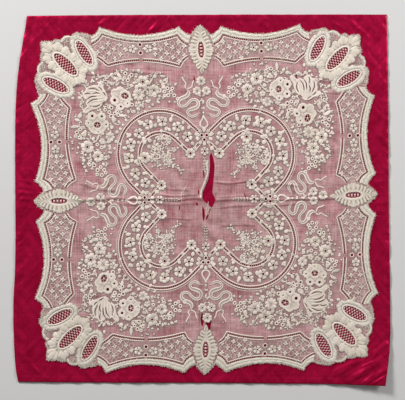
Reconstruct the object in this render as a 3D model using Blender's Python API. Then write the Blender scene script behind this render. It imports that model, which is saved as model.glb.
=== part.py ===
"""A sheer whitework handkerchief with a scalloped, padded edge, lying on the silk square it is stitched to.

The frame is metres, +Z up, origin under the middle of the silk. Sizes below are millimetres.
The handkerchief is drawn in a symmetrical pattern frame (u to the right, v up, origin at its middle),
and WARP then moves the pattern to where the uneven cloth really lies.
"""

import math

import bpy
import numpy as np
from mathutils import Vector
from mathutils.geometry import delaunay_2d_cdt

MM = 0.001

# Silk square
SILK_COLOUR = (0.50, 0.005, 0.045)
SILK_ROUGHNESS = 0.35
SILK_THICK = 1.0
SILK_HEM_STEP = 7.0
SILK_GRID_STEP = 24.0
HEM_RIPPLE_HEIGHT = 0.8
HEM_RIPPLE_LENGTH = 17.0
HEM_RIPPLE_REACH = 9.0
# Corners of the silk and the points that its sides pass through, going clockwise
SILK_SIDES = {
    "top": [(-209.5, 220.5), (-120, 221.4), (0, 221.9), (110, 222.1), (221.9, 222.1)],
    "right": [
        (221.9, 222.1), (223.8, 119.7), (224.4, 0), (226.0, -116.7), (225.4, -174.3), (219.1, -222.1),
    ],
    "bottom": [(219.1, -222.1), (118, -220.6), (0, -219.6), (-122, -219.3), (-220.3, -218.3)],
    "left": [
        (-220.3, -218.3), (-224, -192.3), (-226.0, -132.3), (-223.4, -60), (-222.8, 119.7), (-209.5, 220.5),
    ],
}

# Puckers drawn in the silk by its stitching: from, to, half width, height
PUCKERS = [
    ((-217, 189), (-190, 216), 4.0, 1.9),
    ((-213, 180), (-175, 216), 4.0, 1.6),
    ((-222, 165), (-206, 182), 3.5, 1.2),
    ((-133, 197), (-112, 219), 4.0, 1.9),
    ((-107, 213), (-97, 221), 3.0, 1.2),
    ((-64, 199), (-48, 218), 3.5, 1.8),
    ((-53, 195), (-36, 211), 3.5, 1.6),
    ((-28, 204), (-19, 220), 3.0, 1.3),
    ((28, 213), (46, 200), 3.5, 1.3),
    ((67, 220), (80, 203), 3.5, 1.2),
    ((154, 216), (180, 197), 4.0, 1.9),
    ((172, 220), (204, 191), 4.0, 1.6),
    ((190, 180), (219, 150), 4.5, 1.8),
    ((203, 20), (223, 24), 3.0, 1.3),
    ((203, 8), (223, 7), 3.0, 1.7),
    ((203, -3), (223, -4), 3.0, 1.5),
    ((203, -13), (223, -16), 3.0, 1.2),
    ((-222, 26), (-200, 19), 3.0, 1.2),
    ((-222, 17), (-200, 12), 3.0, 1.6),
    ((-222, 8), (-201, 5), 3.0, 1.8),
    ((-222, -1), (-203, 2), 3.0, 1.4),
    ((-219, -104), (-204, -121), 4.0, 1.2),
    ((-212, -188), (-193, -210), 4.5, 1.5),
    ((150, -204), (158, -219), 3.5, 1.2),
    ((165, -213), (204, -184), 5.0, 2.2),
    ((184, -217), (216, -194), 4.5, 2.0),
    ((202, -190), (223, -172), 4.5, 1.8),
    ((30, -201), (30, -218), 3.0, 1.1),
    ((-96, -205), (-104, -218), 3.5, 1.2),
]
PUCKER_CLEAR = (1.5, 8.0)  # the puckers begin and are whole at these distances outside the handkerchief

# One corner of both cloths is lifted off the table
LIFTED_CORNER = (219.1, -222.1)
LIFT_HEIGHT = 7.0
LIFT_REACH = 95.0

# Handkerchief
LAWN_COLOUR = (0.80, 0.72, 0.64)
LAWN_ROUGHNESS = 0.8
CLOTH_GAP = 0.3
LAWN_THICK = 1.0
RIM_HEIGHT = 0.8
RIM_WIDTH = 6.0
RIM_FOOT = 8.0
LAWN_GRID_STEP = 30.0

# One eighth of the edge, from the point at mid-side to the corner tip: where each curve ends,
# how far it bulges outwards, and how many steps it takes
MID_SIDE_TIP = (0.0, 207.3)
EDGE_CURVES = [
    ("medallion side", (11.4, 195.0), 0.0, 2),
    ("rise to inner point", (24.6, 205.0), -1.5, 2),
    ("long hollow", (118.3, 205.8), -10.0, 10),
    ("fall from outer point", (129.6, 195.6), -2.0, 2),
    ("oval rim", (154.6, 195.6), 5.6, 5),
    ("scallop", (167.5, 191.5), 2.6, 3),
    ("corner petal", (179.0, 190.0), 1.8, 2),
    ("corner tip", (191.0, 191.0), 0.8, 2),
]

# Windows cut out and filled with a needle-made net: centre, half length, half width, lean from +v,
# columns and rows of the net
WINDOWS = {
    "side": ((0.0, 178.0), 10.4, 3.6, 0.0, 4, 1),
    "oval_left": ((139.8, 176.6), 15.6, 5.6, 29.0, 5, 2),
    "diagonal": ((164.0, 164.0), 17.3, 6.3, 45.0, 5, 2),
    "oval_right": ((176.6, 139.8), 15.6, 5.6, 61.0, 5, 2),
}
WINDOW_RIM_HEIGHT = 1.1
WINDOW_RIM_CREST = (0.6, 2.2)  # the rim is whole between these distances outside the window
WINDOW_RIM_FOOT = 4.0
NET_BAR = 1.1
NET_REACH = 0.93  # share of a window's half length that the net's gaps fill

# Raised double cords: the quatrefoil's outer and inner lines
LOBE_CENTRE = 54.0
LOBE_OUTER = 51.6
LOBE_INNER = 25.8
LINE_CLEAR = 4.6
SMALL_ROSETTE = (17.3, 54.4)
LARGE_ROSETTE = 73.8
CORD_HALF_WIDTH = 2.8
CORD_HEIGHT = 0.7
CORD_CREST = 0.3
CORD_STEP = 13.0
# Inner line of an edge panel, from the side medallion to the oval window: where each curve ends and its bulge
PANEL_START = (15.0, 170.4)
PANEL_LINE = [
    ("inner corner", (21.7, 154.7), 0.0),
    ("long arch", (112.4, 157.8), 6.3),
    ("outer corner", (124.8, 171.6), 0.0),
]

# Raised flowers, leaves and plumes of one quarter: centre, radius, height
BLOSSOMS = {
    "large_rosette": ((0.0, LARGE_ROSETTE), 8.4, 1.0),
    "small_rosette_left": ((-17.3, 54.4), 5.4, 0.9),
    "small_rosette_right": ((17.3, 54.4), 5.4, 0.9),
    "rose_upper": ((92.4, 127.2), 13.0, 1.4),
    "rose_lower": ((126.0, 94.2), 13.0, 1.4),
    "plume": ((120.0, 124.8), 12.5, 1.6),
    "posy": ((57.0, 57.0), 9.0, 0.8),
}
BLOSSOM_CREST = 0.35
ROSE_HOLE = 2.4

# Soft creases where the cloth was folded: from, to, half width, height
CREASES = [
    ((-176, 1), (176, 1), 4.5, 1.3),
    ((14, 20), (120, 17), 3.5, 0.9),
    ((-150, 20), (-100, 10), 3.5, 1.0),
    ((-3, -170), (-3, -80), 4.0, 1.0),
    ((-2, 60), (-2, 170), 4.0, 0.9),
]

# The long tear in the middle and the torn spot below it
TEAR = [
    (5.9, 56.2), (8.0, 50.4), (10.1, 40.2), (9.5, 29.9), (8.0, 17.4), (7.4, 7.1), (11.0, -0.2), (9.0, -6.5),
    (6.5, -10.6), (2.3, -6.5), (-2.9, -2.3), (-4.9, 1.8), (-4.0, 9.0), (-0.8, 16.3), (2.3, 23.5), (3.9, 32.8),
    (4.3, 43.2), (3.9, 51.4),
]
TORN_SPOT = [(1.0, -146.0), (8.4, -142.6), (7.0, -151.6), (3.4, -152.0)]

# Where the uneven cloth lies: a pattern point and how far it has moved from there
HANKY_CENTRE = (3.1, 0.3)
WARP = [
    ("middle", (0, 0), (1.6, 0.4)),
    ("rosette_top", (0, 73.8), (0.0, 1.3)),
    ("rosette_left", (-73.8, 0), (4.2, -0.8)),
    ("rosette_right", (73.8, 0), (3.4, 0.7)),
    ("rosette_bottom", (0, -73.8), (1.8, 0.2)),
    ("medallion_top", (0, 178), (-3.8, 1.4)),
    ("medallion_left", (-178, 0), (4.1, -1.8)),
    ("medallion_right", (178, 0), (0.6, 5.4)),
    ("medallion_bottom", (0, -178), (1.6, -2.0)),
    ("corner_top_left", (-164, 164), (-2.2, -2.0)),
    ("corner_top_right", (164, 164), (-4.4, 5.2)),
    ("corner_bottom_left", (-164, -164), (3.5, -1.2)),
    ("corner_bottom_right", (164, -164), (4.3, 2.5)),
    ("point_top_left", (-118, 206), (-7.6, 0.1)),
    ("point_top_right", (118, 206), (-4.0, 3.6)),
    ("point_right_top", (206, 118), (-2.5, 5.8)),
    ("point_right_bottom", (206, -118), (1.6, 6.0)),
    ("point_bottom_right", (118, -206), (0.7, 2.0)),
    ("point_bottom_left", (-118, -206), (0.8, -1.1)),
    ("point_left_bottom", (-206, -118), (3.5, -0.2)),
    ("point_left_top", (-206, 118), (-1.6, -3.5)),
]


def clear_scene():
    """Empties the scene."""
    for obj in list(bpy.data.objects):
        bpy.data.objects.remove(obj)


def smooth_step(low, high, value):
    """0 below low and 1 above high, with a smooth rise between them."""
    share = np.clip((value - low) / (high - low), 0.0, 1.0)
    return share * share * (3.0 - 2.0 * share)


def thin_plate(distance):
    """The bending kernel r squared times log r."""
    return distance**2 * np.log(np.maximum(distance, 1e-9))


def solve_warp():
    """Thin-plate weights that carry every pattern point of WARP by its own shift."""
    anchors = np.array([row[1] for row in WARP], float)
    shifts = np.array([row[2] for row in WARP], float)
    count = len(anchors)
    spans = np.linalg.norm(anchors[:, None] - anchors[None], axis=2)
    flat = np.column_stack([np.ones(count), anchors])
    system = np.block([[thin_plate(spans), flat], [flat.T, np.zeros((3, 3))]])
    return anchors, np.linalg.solve(system, np.vstack([shifts, np.zeros((3, 2))]))


WARP_ANCHORS, WARP_WEIGHTS = solve_warp()


def to_cloth(pattern):
    """Pattern points moved to where they lie, in millimetres of the part's frame."""
    pattern = np.asarray(pattern, float).reshape(-1, 2)
    spans = np.linalg.norm(pattern[:, None] - WARP_ANCHORS[None], axis=2)
    terms = np.column_stack([thin_plate(spans), np.ones(len(pattern)), pattern])
    return pattern + terms @ WARP_WEIGHTS + np.array(HANKY_CENTRE)


def curve_points(start, end, bulge, steps):
    """Points after start, up to end, on a parabola that bulges to the left of the way from start to end."""
    start, end = np.array(start, float), np.array(end, float)
    share = np.linspace(0, 1, steps + 1)[1:, None]
    along = end - start
    side = np.array([-along[1], along[0]]) / np.hypot(*along)
    return start + along * share + side * bulge * 4 * share * (1 - share)


def turned(points, quarter):
    """Points turned clockwise by a number of quarter turns."""
    turns = {0: (1, 0), 1: (0, -1), 2: (-1, 0), 3: (0, 1)}
    cosine, sine = turns[quarter % 4]
    points = np.asarray(points, float).reshape(-1, 2)
    return points @ np.array([[cosine, sine], [-sine, cosine]])


def handkerchief_outline():
    """The scalloped edge in the pattern frame, going clockwise from the top mid-side point."""
    eighth = [np.array([MID_SIDE_TIP])]
    start = MID_SIDE_TIP
    for _, end, bulge, steps in EDGE_CURVES:
        eighth.append(curve_points(start, end, bulge, steps))
        start = end
    eighth = np.vstack(eighth)
    quarter = np.vstack([eighth, eighth[-2:0:-1, ::-1]])
    return np.vstack([turned(quarter, k) for k in range(4)])


def silk_outline():
    """The silk's edge: a smooth curve along each side, with sharp corners."""
    edge = []
    for stations in SILK_SIDES.values():
        stations = np.array(stations, float)
        along = np.concatenate([[0], np.cumsum(np.hypot(*np.diff(stations, axis=0).T))])
        at = np.linspace(0, along[-1], int(along[-1] / SILK_HEM_STEP))[:-1]
        edge.append(np.column_stack([np.interp(at, along, stations[:, k]) for k in range(2)]))
    return np.vstack(edge)


def distance_to_loop(points, loop):
    """Signed distance to a closed polygon, positive inside."""
    starts, ends = loop, np.roll(loop, -1, axis=0)
    span = ends - starts
    offset = points[:, None] - starts[None]
    share = np.clip((offset * span).sum(2) / (span * span).sum(1), 0, 1)
    nearest = np.linalg.norm(offset - share[..., None] * span, axis=2).min(axis=1)
    crosses = (starts[:, 1] > points[:, None, 1]) != (ends[:, 1] > points[:, None, 1])
    rise = np.where(span[:, 1] == 0, 1, span[:, 1])
    reach = starts[:, 0] + (points[:, None, 1] - starts[:, 1]) * span[:, 0] / rise
    inside = (crosses & (points[:, None, 0] < reach)).sum(axis=1) % 2 == 1
    return np.where(inside, nearest, -nearest)


def distance_to_segment(points, start, end):
    """(distance from a segment, share of the way along it) for each point."""
    start, end = np.array(start, float), np.array(end, float)
    span = end - start
    share = np.clip((points - start) @ span / (span @ span), 0, 1)
    return np.linalg.norm(points - start - share[:, None] * span, axis=1), share


def ridges(points, rows, end_share=0.25):
    """Height of a set of soft ridges that die away at their ends and sides."""
    height = np.zeros(len(points))
    for start, end, half_width, crest in rows:
        off, share = distance_to_segment(points, start, end)
        ends = smooth_step(0, end_share, share) * smooth_step(0, end_share, 1 - share)
        height = np.maximum(height, crest * ends * (1 - smooth_step(0, half_width, off)))
    return height


def ridge_samples(rows, step=9.0):
    """Points on the crest and both feet of each ridge, where the mesh needs its corners."""
    found = []
    for start, end, half_width, _ in rows:
        start, end = np.array(start, float), np.array(end, float)
        along = end - start
        side = np.array([-along[1], along[0]]) / np.hypot(*along)
        share = np.linspace(0, 1, max(3, int(np.hypot(*along) / step) + 1))[:, None]
        for offset in (-half_width, 0.0, half_width):
            found.append(start + along * share + side * offset)
    return np.vstack(found)


def lift(points):
    """How far the lifted corner raises both cloths: nothing past LIFT_REACH, then rising with the square."""
    away = np.linalg.norm(points - np.array(LIFTED_CORNER), axis=1)
    return LIFT_HEIGHT * np.clip(1 - away / LIFT_REACH, 0, 1) ** 2


def lift_samples():
    """Rings of points round the lifted corner."""
    rings = []
    for away in np.linspace(14, LIFT_REACH, 7):
        angle = np.arange(0.5 * math.pi, math.pi, 9.0 / away)
        rings.append(np.column_stack([np.cos(angle), np.sin(angle)]) * away + np.array(LIFTED_CORNER))
    return np.vstack(rings)


def grid_samples(half_side, step):
    """A square grid of points."""
    line = np.arange(-half_side, half_side + step, step)
    return np.array(np.meshgrid(line, line)).reshape(2, -1).T


def thinned(points, fixed, spacing):
    """The points that lie at least spacing from the fixed ones and from each other, the first ones kept."""
    kept = list(fixed)
    cells = {}
    for index, point in enumerate(kept):
        cells.setdefault((int(point[0] // spacing), int(point[1] // spacing)), []).append(index)
    chosen = []
    for point in points:
        column, row = int(point[0] // spacing), int(point[1] // spacing)
        near = (i for a in (-1, 0, 1) for b in (-1, 0, 1) for i in cells.get((column + a, row + b), ()))
        if all(math.hypot(kept[i][0] - point[0], kept[i][1] - point[1]) >= spacing for i in near):
            cells.setdefault((column, row), []).append(len(kept))
            kept.append(point)
            chosen.append(point)
    return np.array(chosen).reshape(-1, 2)


def triangulate(loops, points):
    """Triangles that fill the first loop, leave out the other loops and use every point."""
    vertices, edges = [], []
    for loop in loops:
        first = len(vertices)
        vertices += [Vector(p) for p in loop]
        edges += [(first + i, first + (i + 1) % len(loop)) for i in range(len(loop))]
    vertices += [Vector(p) for p in points]
    flat, _, faces, *_ = delaunay_2d_cdt(vertices, edges, [], 0, 1e-6)
    flat = np.array([tuple(v) for v in flat])
    faces = np.array(faces)
    middles = flat[faces].mean(axis=1)
    inside = distance_to_loop(middles, loops[0]) > 0
    for hole in loops[1:]:
        away = np.abs(middles - hole.mean(axis=0)).max(axis=1)
        near = np.where(inside & (away < np.ptp(hole, axis=0).max()))[0]
        inside[near[distance_to_loop(middles[near], hole) > 0]] = False
    faces = faces[inside]
    a, b, c = (flat[faces[:, k]] for k in range(3))
    turn = (b - a)[:, 0] * (c - a)[:, 1] - (b - a)[:, 1] * (c - a)[:, 0]
    faces[turn < 0] = faces[turn < 0][:, ::-1]
    return flat, faces


def cloth_solid(name, flat, faces, low, high, colour, roughness):
    """A closed sheet: the same triangles at the low and high heights, joined round every edge."""
    count = len(flat)
    ends = np.concatenate([faces[:, [0, 1]], faces[:, [1, 2]], faces[:, [2, 0]]])
    pairs = {tuple(edge) for edge in ends.tolist()}
    rim = [edge for edge in pairs if (edge[1], edge[0]) not in pairs]
    walls = [(a, b, b + count, a + count) for a, b in sorted(rim)]
    corners = np.vstack([np.column_stack([flat, low]), np.column_stack([flat, high])]) * MM
    mesh = bpy.data.meshes.new(name)
    mesh.from_pydata(corners.tolist(), [], faces[:, ::-1].tolist() + (faces + count).tolist() + walls)
    mesh.validate()
    cloth = bpy.data.objects.new(name, mesh)
    bpy.context.scene.collection.objects.link(cloth)
    mesh.materials.append(cloth_material(name, colour, roughness))
    return cloth


def cloth_material(name, colour, roughness):
    """A plain finish of the cloth's own colour."""
    material = bpy.data.materials.new(name)
    material.use_nodes = True
    shader = material.node_tree.nodes["Principled BSDF"]
    shader.inputs["Base Color"].default_value = (*colour, 1.0)
    shader.inputs["Roughness"].default_value = roughness
    shader.inputs["Metallic"].default_value = 0.0
    return material


def silk_height(points, lace_edge):
    """Height of the silk's underside: flat, puckered outside the handkerchief, lifted at one corner."""
    outside = -distance_to_loop(points, lace_edge)
    hem = 1 - smooth_step(0, HEM_RIPPLE_REACH, distance_to_loop(points, silk_outline()))
    along = (points[:, 0] + points[:, 1]) / HEM_RIPPLE_LENGTH
    ripple = HEM_RIPPLE_HEIGHT * np.clip(np.sin(2 * math.pi * along), 0, 1) * hem
    puckers = np.maximum(ridges(points, PUCKERS), ripple)
    return lift(points) + puckers * smooth_step(*PUCKER_CLEAR, outside)


def make_silk(lace_edge):
    """The silk square, hemmed and puckered."""
    edge = silk_outline()
    inner = edge - HEM_RIPPLE_REACH * edge / np.linalg.norm(edge, axis=1)[:, None]
    grid = grid_samples(220, SILK_GRID_STEP)
    wanted = np.vstack([ridge_samples(PUCKERS, 9.0), lift_samples(), inner, grid])
    wanted = wanted[distance_to_loop(wanted, edge) > 2.0]
    flat, faces = triangulate([edge], thinned(wanted, edge, 2.6))
    low = silk_height(flat, lace_edge)
    return cloth_solid("silk_square", flat, faces, low, low + SILK_THICK, SILK_COLOUR, SILK_ROUGHNESS)


def window_frame(centre, lean):
    """A function that takes (along, across) sizes in a leaning window to pattern points."""
    sine, cosine = math.sin(math.radians(lean)), math.cos(math.radians(lean))
    axes = np.array([[sine, cosine], [cosine, -sine]])
    return lambda sizes: np.array(centre) + np.asarray(sizes, float) @ axes


def net_holes(centre, half_length, half_width, lean, columns, rows):
    """Four-sided gaps of the net that fills a window: columns along it, one or two rows across."""
    place = window_frame(centre, lean)
    stations = np.linspace(-NET_REACH, NET_REACH, columns + 1)
    holes = []
    for left, right in zip(stations[:-1], stations[1:]):
        near, far = (half_length * s for s in (left, right))
        near, far = near + NET_BAR / 2, far - NET_BAR / 2
        wide = [half_width * math.sqrt(1 - (s / half_length) ** 2) - NET_BAR / 2 for s in (near, far)]
        if rows == 1:
            holes.append(place([(near, -wide[0]), (far, -wide[1]), (far, wide[1]), (near, wide[0])]))
            continue
        for side in (-1, 1):
            inner = side * NET_BAR / 2
            holes.append(place([(near, inner), (far, inner), (far, side * wide[1]), (near, side * wide[0])]))
    return holes


def window_rim(points):
    """Height of the padded rims round the windows."""
    height = np.zeros(len(points))
    for centre, half_length, half_width, lean, _, _ in WINDOWS.values():
        sine, cosine = math.sin(math.radians(lean)), math.cos(math.radians(lean))
        for quarter in range(4):
            offset = turned(points, -quarter) - np.array(centre)
            along, across = offset @ (sine, cosine), offset @ (cosine, -sine)
            out = (np.hypot(along / half_length, across / half_width) - 1) * half_width
            rise = smooth_step(0, WINDOW_RIM_CREST[0], out)
            fall = 1 - smooth_step(WINDOW_RIM_CREST[1], WINDOW_RIM_FOOT, out)
            height = np.maximum(height, WINDOW_RIM_HEIGHT * rise * fall)
    return height


def ring_samples(centre, half_length, half_width, lean, count):
    """Points round a leaning ellipse."""
    angle = np.linspace(0, 2 * math.pi, count, endpoint=False)
    sizes = np.column_stack([half_length * np.cos(angle), half_width * np.sin(angle)])
    return window_frame(centre, lean)(sizes)


def corded_lines():
    """The raised double cords of one quarter, each a chain of points in the pattern frame."""
    lobe = np.array([LOBE_CENTRE, LOBE_CENTRE])
    starts = {LOBE_OUTER: (LINE_CLEAR, LARGE_ROSETTE + LINE_CLEAR), LOBE_INNER: SMALL_ROSETTE}
    lines = []
    for radius, start in starts.items():
        steps = int(math.pi * radius / CORD_STEP)
        angle = np.radians(np.linspace(135, -45, steps + 1))[:, None]
        arc = lobe + radius * np.hstack([np.cos(angle), np.sin(angle)])
        run = np.vstack([[start], curve_points(start, arc[0], 0.0, 2)[:-1]])
        lines.append(np.vstack([run, arc, run[::-1, ::-1]]))
    link_end = (LINE_CLEAR, LARGE_ROSETTE - LINE_CLEAR)
    link = np.vstack([[SMALL_ROSETTE], curve_points(SMALL_ROSETTE, link_end, 0.0, 2)])
    lines += [link, link[:, ::-1]]
    start = PANEL_START
    panel = [np.array([start])]
    for _, end, bulge in PANEL_LINE:
        steps = max(2, int(math.dist(start, end) / CORD_STEP))
        panel.append(curve_points(start, end, bulge, steps))
        start = end
    panel = np.vstack(panel)
    return lines + [panel, panel[:, ::-1]]


def line_segments():
    """Every segment of the corded lines of all four quarters."""
    rows = []
    for line in corded_lines():
        for quarter in range(4):
            path = turned(line, quarter)
            rows += list(zip(path[:-1], path[1:]))
    return rows


def cord_height(points, segments):
    """Height of the corded lines: full at the middle and nothing at the half width."""
    nearest = np.full(len(points), np.inf)
    for start, end in segments:
        nearest = np.minimum(nearest, distance_to_segment(points, start, end)[0])
    return CORD_HEIGHT * (1 - smooth_step(CORD_CREST * CORD_HALF_WIDTH, CORD_HALF_WIDTH, nearest))


def cord_samples():
    """Points on the crest and both feet of each corded line."""
    found = []
    for line in corded_lines():
        way = np.gradient(line, axis=0)
        side = np.column_stack([-way[:, 1], way[:, 0]]) / np.linalg.norm(way, axis=1)[:, None]
        for offset in (0.0, -CORD_HALF_WIDTH, CORD_HALF_WIDTH):
            found += [turned(line + side * offset, quarter) for quarter in range(4)]
    return np.vstack(found)


def blossom_height(points):
    """Height of the padded flowers: a low dome each."""
    height = np.zeros(len(points))
    for centre, radius, crest in BLOSSOMS.values():
        for quarter in range(4):
            away = np.linalg.norm(turned(points, -quarter) - np.array(centre), axis=1)
            height = np.maximum(height, crest * (1 - smooth_step(BLOSSOM_CREST * radius, radius, away)))
    return height


def blossom_samples():
    """Rings of points on each padded flower."""
    found = []
    for centre, radius, _ in BLOSSOMS.values():
        for share, count in ((1.0, 8), (0.3, 3)):
            ring = ring_samples(centre, share * radius, share * radius, 0.0, count)
            found += [turned(ring, quarter) for quarter in range(4)]
    return np.vstack(found)


def edge_rings(outline):
    """Points along the inner side and the foot of the padded rim."""
    way = np.roll(outline, -1, axis=0) - np.roll(outline, 1, axis=0)
    inward = np.column_stack([way[:, 1], -way[:, 0]]) / np.linalg.norm(way, axis=1)[:, None]
    rings = []
    for width in (RIM_WIDTH, RIM_FOOT):
        ring = outline + inward * width
        rings.append(ring[distance_to_loop(ring, outline) > 0.85 * width])
    return np.vstack(rings)


def lawn_fold(points):
    """How far the creases raise the cloth, at points of the part's frame."""
    return ridges(points, CREASES, 0.12)


def make_handkerchief(outline):
    """The lawn handkerchief with its padded edge, netted windows, raised cords, flowers and tears."""
    holes = []
    for window in WINDOWS.values():
        for quarter in range(4):
            holes += [turned(hole, quarter) for hole in net_holes(*window)]
    for name in ("rose_upper", "rose_lower"):
        eyelet = ring_samples(BLOSSOMS[name][0], ROSE_HOLE, ROSE_HOLE, 0.0, 6)
        holes += [turned(eyelet, quarter) for quarter in range(4)]
    holes += [np.array(TEAR), np.array(TORN_SPOT)]
    rims = [
        turned(ring_samples(centre, a + out, b + out, lean, 14), quarter)
        for centre, a, b, lean, _, _ in WINDOWS.values()
        for out in (WINDOW_RIM_CREST[1], WINDOW_RIM_FOOT)
        for quarter in range(4)
    ]
    folds = ridge_samples(CREASES, 14.0) - np.array(HANKY_CENTRE)
    wanted = np.vstack([edge_rings(outline), *rims, cord_samples(), blossom_samples(), folds])
    wanted = np.vstack([wanted, grid_samples(200, LAWN_GRID_STEP)])
    wanted = wanted[distance_to_loop(wanted, outline) > 1.6]
    clear = np.ones(len(wanted), bool)
    for hole in holes:
        clear &= distance_to_loop(wanted, hole) < -0.9
    fixed = np.vstack([outline, *holes])
    flat, faces = triangulate([outline, *holes], thinned(wanted[clear], fixed, 1.8))
    rim = RIM_HEIGHT * (1 - smooth_step(RIM_WIDTH, RIM_FOOT, distance_to_loop(flat, outline)))
    lines = cord_height(flat, line_segments())
    relief = np.maximum.reduce([rim, window_rim(flat), lines, blossom_height(flat)])
    lying = to_cloth(flat)
    low = lift(lying) + SILK_THICK + CLOTH_GAP + lawn_fold(lying)
    high = low + LAWN_THICK + relief
    return cloth_solid("handkerchief", lying, faces, low, high, LAWN_COLOUR, LAWN_ROUGHNESS)


def main():
    """Builds both cloths."""
    clear_scene()
    outline = handkerchief_outline()
    make_silk(to_cloth(outline))
    make_handkerchief(outline)


main()
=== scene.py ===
"""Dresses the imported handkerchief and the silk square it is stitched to.

The needlework is drawn on the pattern's own grid, whose square is 1.2 mm: u runs right and v up from the
middle of the handkerchief. ClothLie then moves the pattern to where the uneven cloth lies, in millimetres
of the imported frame. Heights are millimetres everywhere.
"""

import logging
import math
from dataclasses import dataclass, field
from enum import Enum

import bpy
import numpy as np
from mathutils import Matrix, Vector
from mathutils.geometry import delaunay_2d_cdt


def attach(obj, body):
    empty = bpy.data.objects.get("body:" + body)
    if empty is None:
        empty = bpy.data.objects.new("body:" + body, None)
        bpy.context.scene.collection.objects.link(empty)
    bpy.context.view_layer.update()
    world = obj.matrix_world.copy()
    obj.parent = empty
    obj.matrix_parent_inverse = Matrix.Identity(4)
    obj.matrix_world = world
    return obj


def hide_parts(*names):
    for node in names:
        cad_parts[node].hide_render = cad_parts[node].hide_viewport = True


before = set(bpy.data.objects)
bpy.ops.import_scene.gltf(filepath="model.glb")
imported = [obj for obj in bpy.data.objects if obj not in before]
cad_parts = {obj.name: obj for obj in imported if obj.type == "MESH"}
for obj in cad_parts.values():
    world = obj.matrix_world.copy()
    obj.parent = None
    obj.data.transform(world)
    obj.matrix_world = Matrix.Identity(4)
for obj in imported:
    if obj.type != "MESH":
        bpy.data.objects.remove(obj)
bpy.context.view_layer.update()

LOG = logging.getLogger("handkerchief")
MM = 0.001
SQUARE = 1.2  # millimetres in one square of the pattern's grid
SEED = 11

Points = np.ndarray


# Plain maths


def smooth_step(low: float, high: float, value: Points) -> Points:
    """0 below low and 1 above high, with the smooth rise 3x^2 - 2x^3 between them."""
    share = np.clip((value - low) / (high - low), 0.0, 1.0)
    return share * share * (3.0 - 2.0 * share)


def arc(start: tuple, end: tuple, bulge: float = 0.0, count: int = 2) -> Points:
    """Points on a parabola over a chord.

    Args:
        start: where it starts.
        end: where it ends.
        bulge: how far its middle stands to the left of the way from start to end.
        count: number of points, both ends included.

    Returns:
        start + s * chord + left normal * bulge * 4 s (1 - s), for s from 0 to 1.
    """
    start, end = np.array(start, float), np.array(end, float)
    share = np.linspace(0, 1, count)[:, None]
    along = end - start
    side = np.array([-along[1], along[0]]) / max(np.hypot(*along), 1e-9)
    return start + along * share + side * bulge * 4 * share * (1 - share)


def chain(start: tuple, curves: list[tuple], step: float) -> Points:
    """Arcs one after another, with points about step apart; each curve is (name, end, bulge)."""
    parts = [np.array([start], float)]
    for _, end, bulge in curves:
        count = max(2, round(math.dist(start, end) / step) + 1)
        parts.append(arc(start, end, bulge, count)[1:])
        start = end
    return np.vstack(parts)


def lengths(path: Points) -> Points:
    """How far along a path each of its points is."""
    return np.concatenate([[0], np.cumsum(np.hypot(*np.diff(path, axis=0).T))])


def resampled(path: Points, step: float) -> Points:
    """The same path with points at equal arc lengths, about step apart."""
    along = lengths(path)
    at = np.linspace(0, along[-1], max(2, round(along[-1] / step) + 1))
    return np.column_stack([np.interp(at, along, path[:, 0]), np.interp(at, along, path[:, 1])])


def with_sizes(rows: Points, *sizes: float) -> Points:
    """The rows, each followed by the same sizes."""
    return np.column_stack([rows, np.full((len(rows), len(sizes)), sizes)])


def smooth_path(stations: list[tuple], step: float) -> Points:
    """A Catmull-Rom curve through the stations, with points about step apart."""
    knots = np.array(stations, float)
    knots = np.vstack([2 * knots[0] - knots[1], knots, 2 * knots[-1] - knots[-2]])
    a, b, c, d = knots[:-3], knots[1:-2], knots[2:-1], knots[3:]
    s = np.linspace(0, 1, 9)[:, None, None]
    curve = 0.5 * (2 * b + (c - a) * s + (2 * a - 5 * b + 4 * c - d) * s**2 + (3 * b - a - 3 * c + d) * s**3)
    return resampled(np.vstack([curve[:-1].transpose(1, 0, 2).reshape(-1, 2), knots[-2:-1]]), step)


def side_of(path: Points, closed: bool = False) -> Points:
    """Unit vectors to the left of a path at each of its points."""
    if closed:
        way = np.roll(path, -1, axis=0) - np.roll(path, 1, axis=0)
    else:
        way = np.gradient(path, axis=0)
    way /= np.maximum(np.linalg.norm(way, axis=1), 1e-9)[:, None]
    return np.column_stack([-way[:, 1], way[:, 0]])


def turned(points: Points, quarter: int) -> Points:
    """Points turned clockwise about the pattern's middle by a number of quarter turns."""
    cosine, sine = ((1, 0), (0, -1), (-1, 0), (0, 1))[quarter % 4]
    return np.asarray(points, float) @ np.array([[cosine, sine], [-sine, cosine]])


def mirrored(points: Points) -> Points:
    """Points mirrored in the pattern's upright middle line."""
    return np.asarray(points, float) * (-1, 1)


def all_round(paths: list[Points], mirror: bool = False) -> list[Points]:
    """Each path in all four quarters, and mirrored there too if asked."""
    both = paths + [mirrored(p) for p in paths] if mirror else paths
    return [turned(p, quarter) for p in both for quarter in range(4)]


def rows_round(rows: list | Points, mirror: bool = False) -> Points:
    """Rows of (u, v, turn in degrees, ...) in all four quarters, and mirrored there too if asked."""
    rows = np.asarray(rows, float)
    if mirror:
        other = rows.copy()
        other[:, 0] *= -1
        other[:, 2] = 180 - other[:, 2]
        rows = np.vstack([rows, other])
    parts = []
    for quarter in range(4):
        part = rows.copy()
        part[:, :2] = turned(rows[:, :2], quarter)
        part[:, 2] -= 90 * quarter
        parts.append(part)
    return np.vstack(parts)


def ellipse(centre: tuple, half_length: float, half_width: float, lean: float, count: int) -> Points:
    """Points round an ellipse whose long axis leans clockwise from +v by lean degrees."""
    angle = np.linspace(0, 2 * math.pi, count, endpoint=False)
    return in_window(centre, lean, half_length * np.cos(angle), half_width * np.sin(angle))


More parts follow.
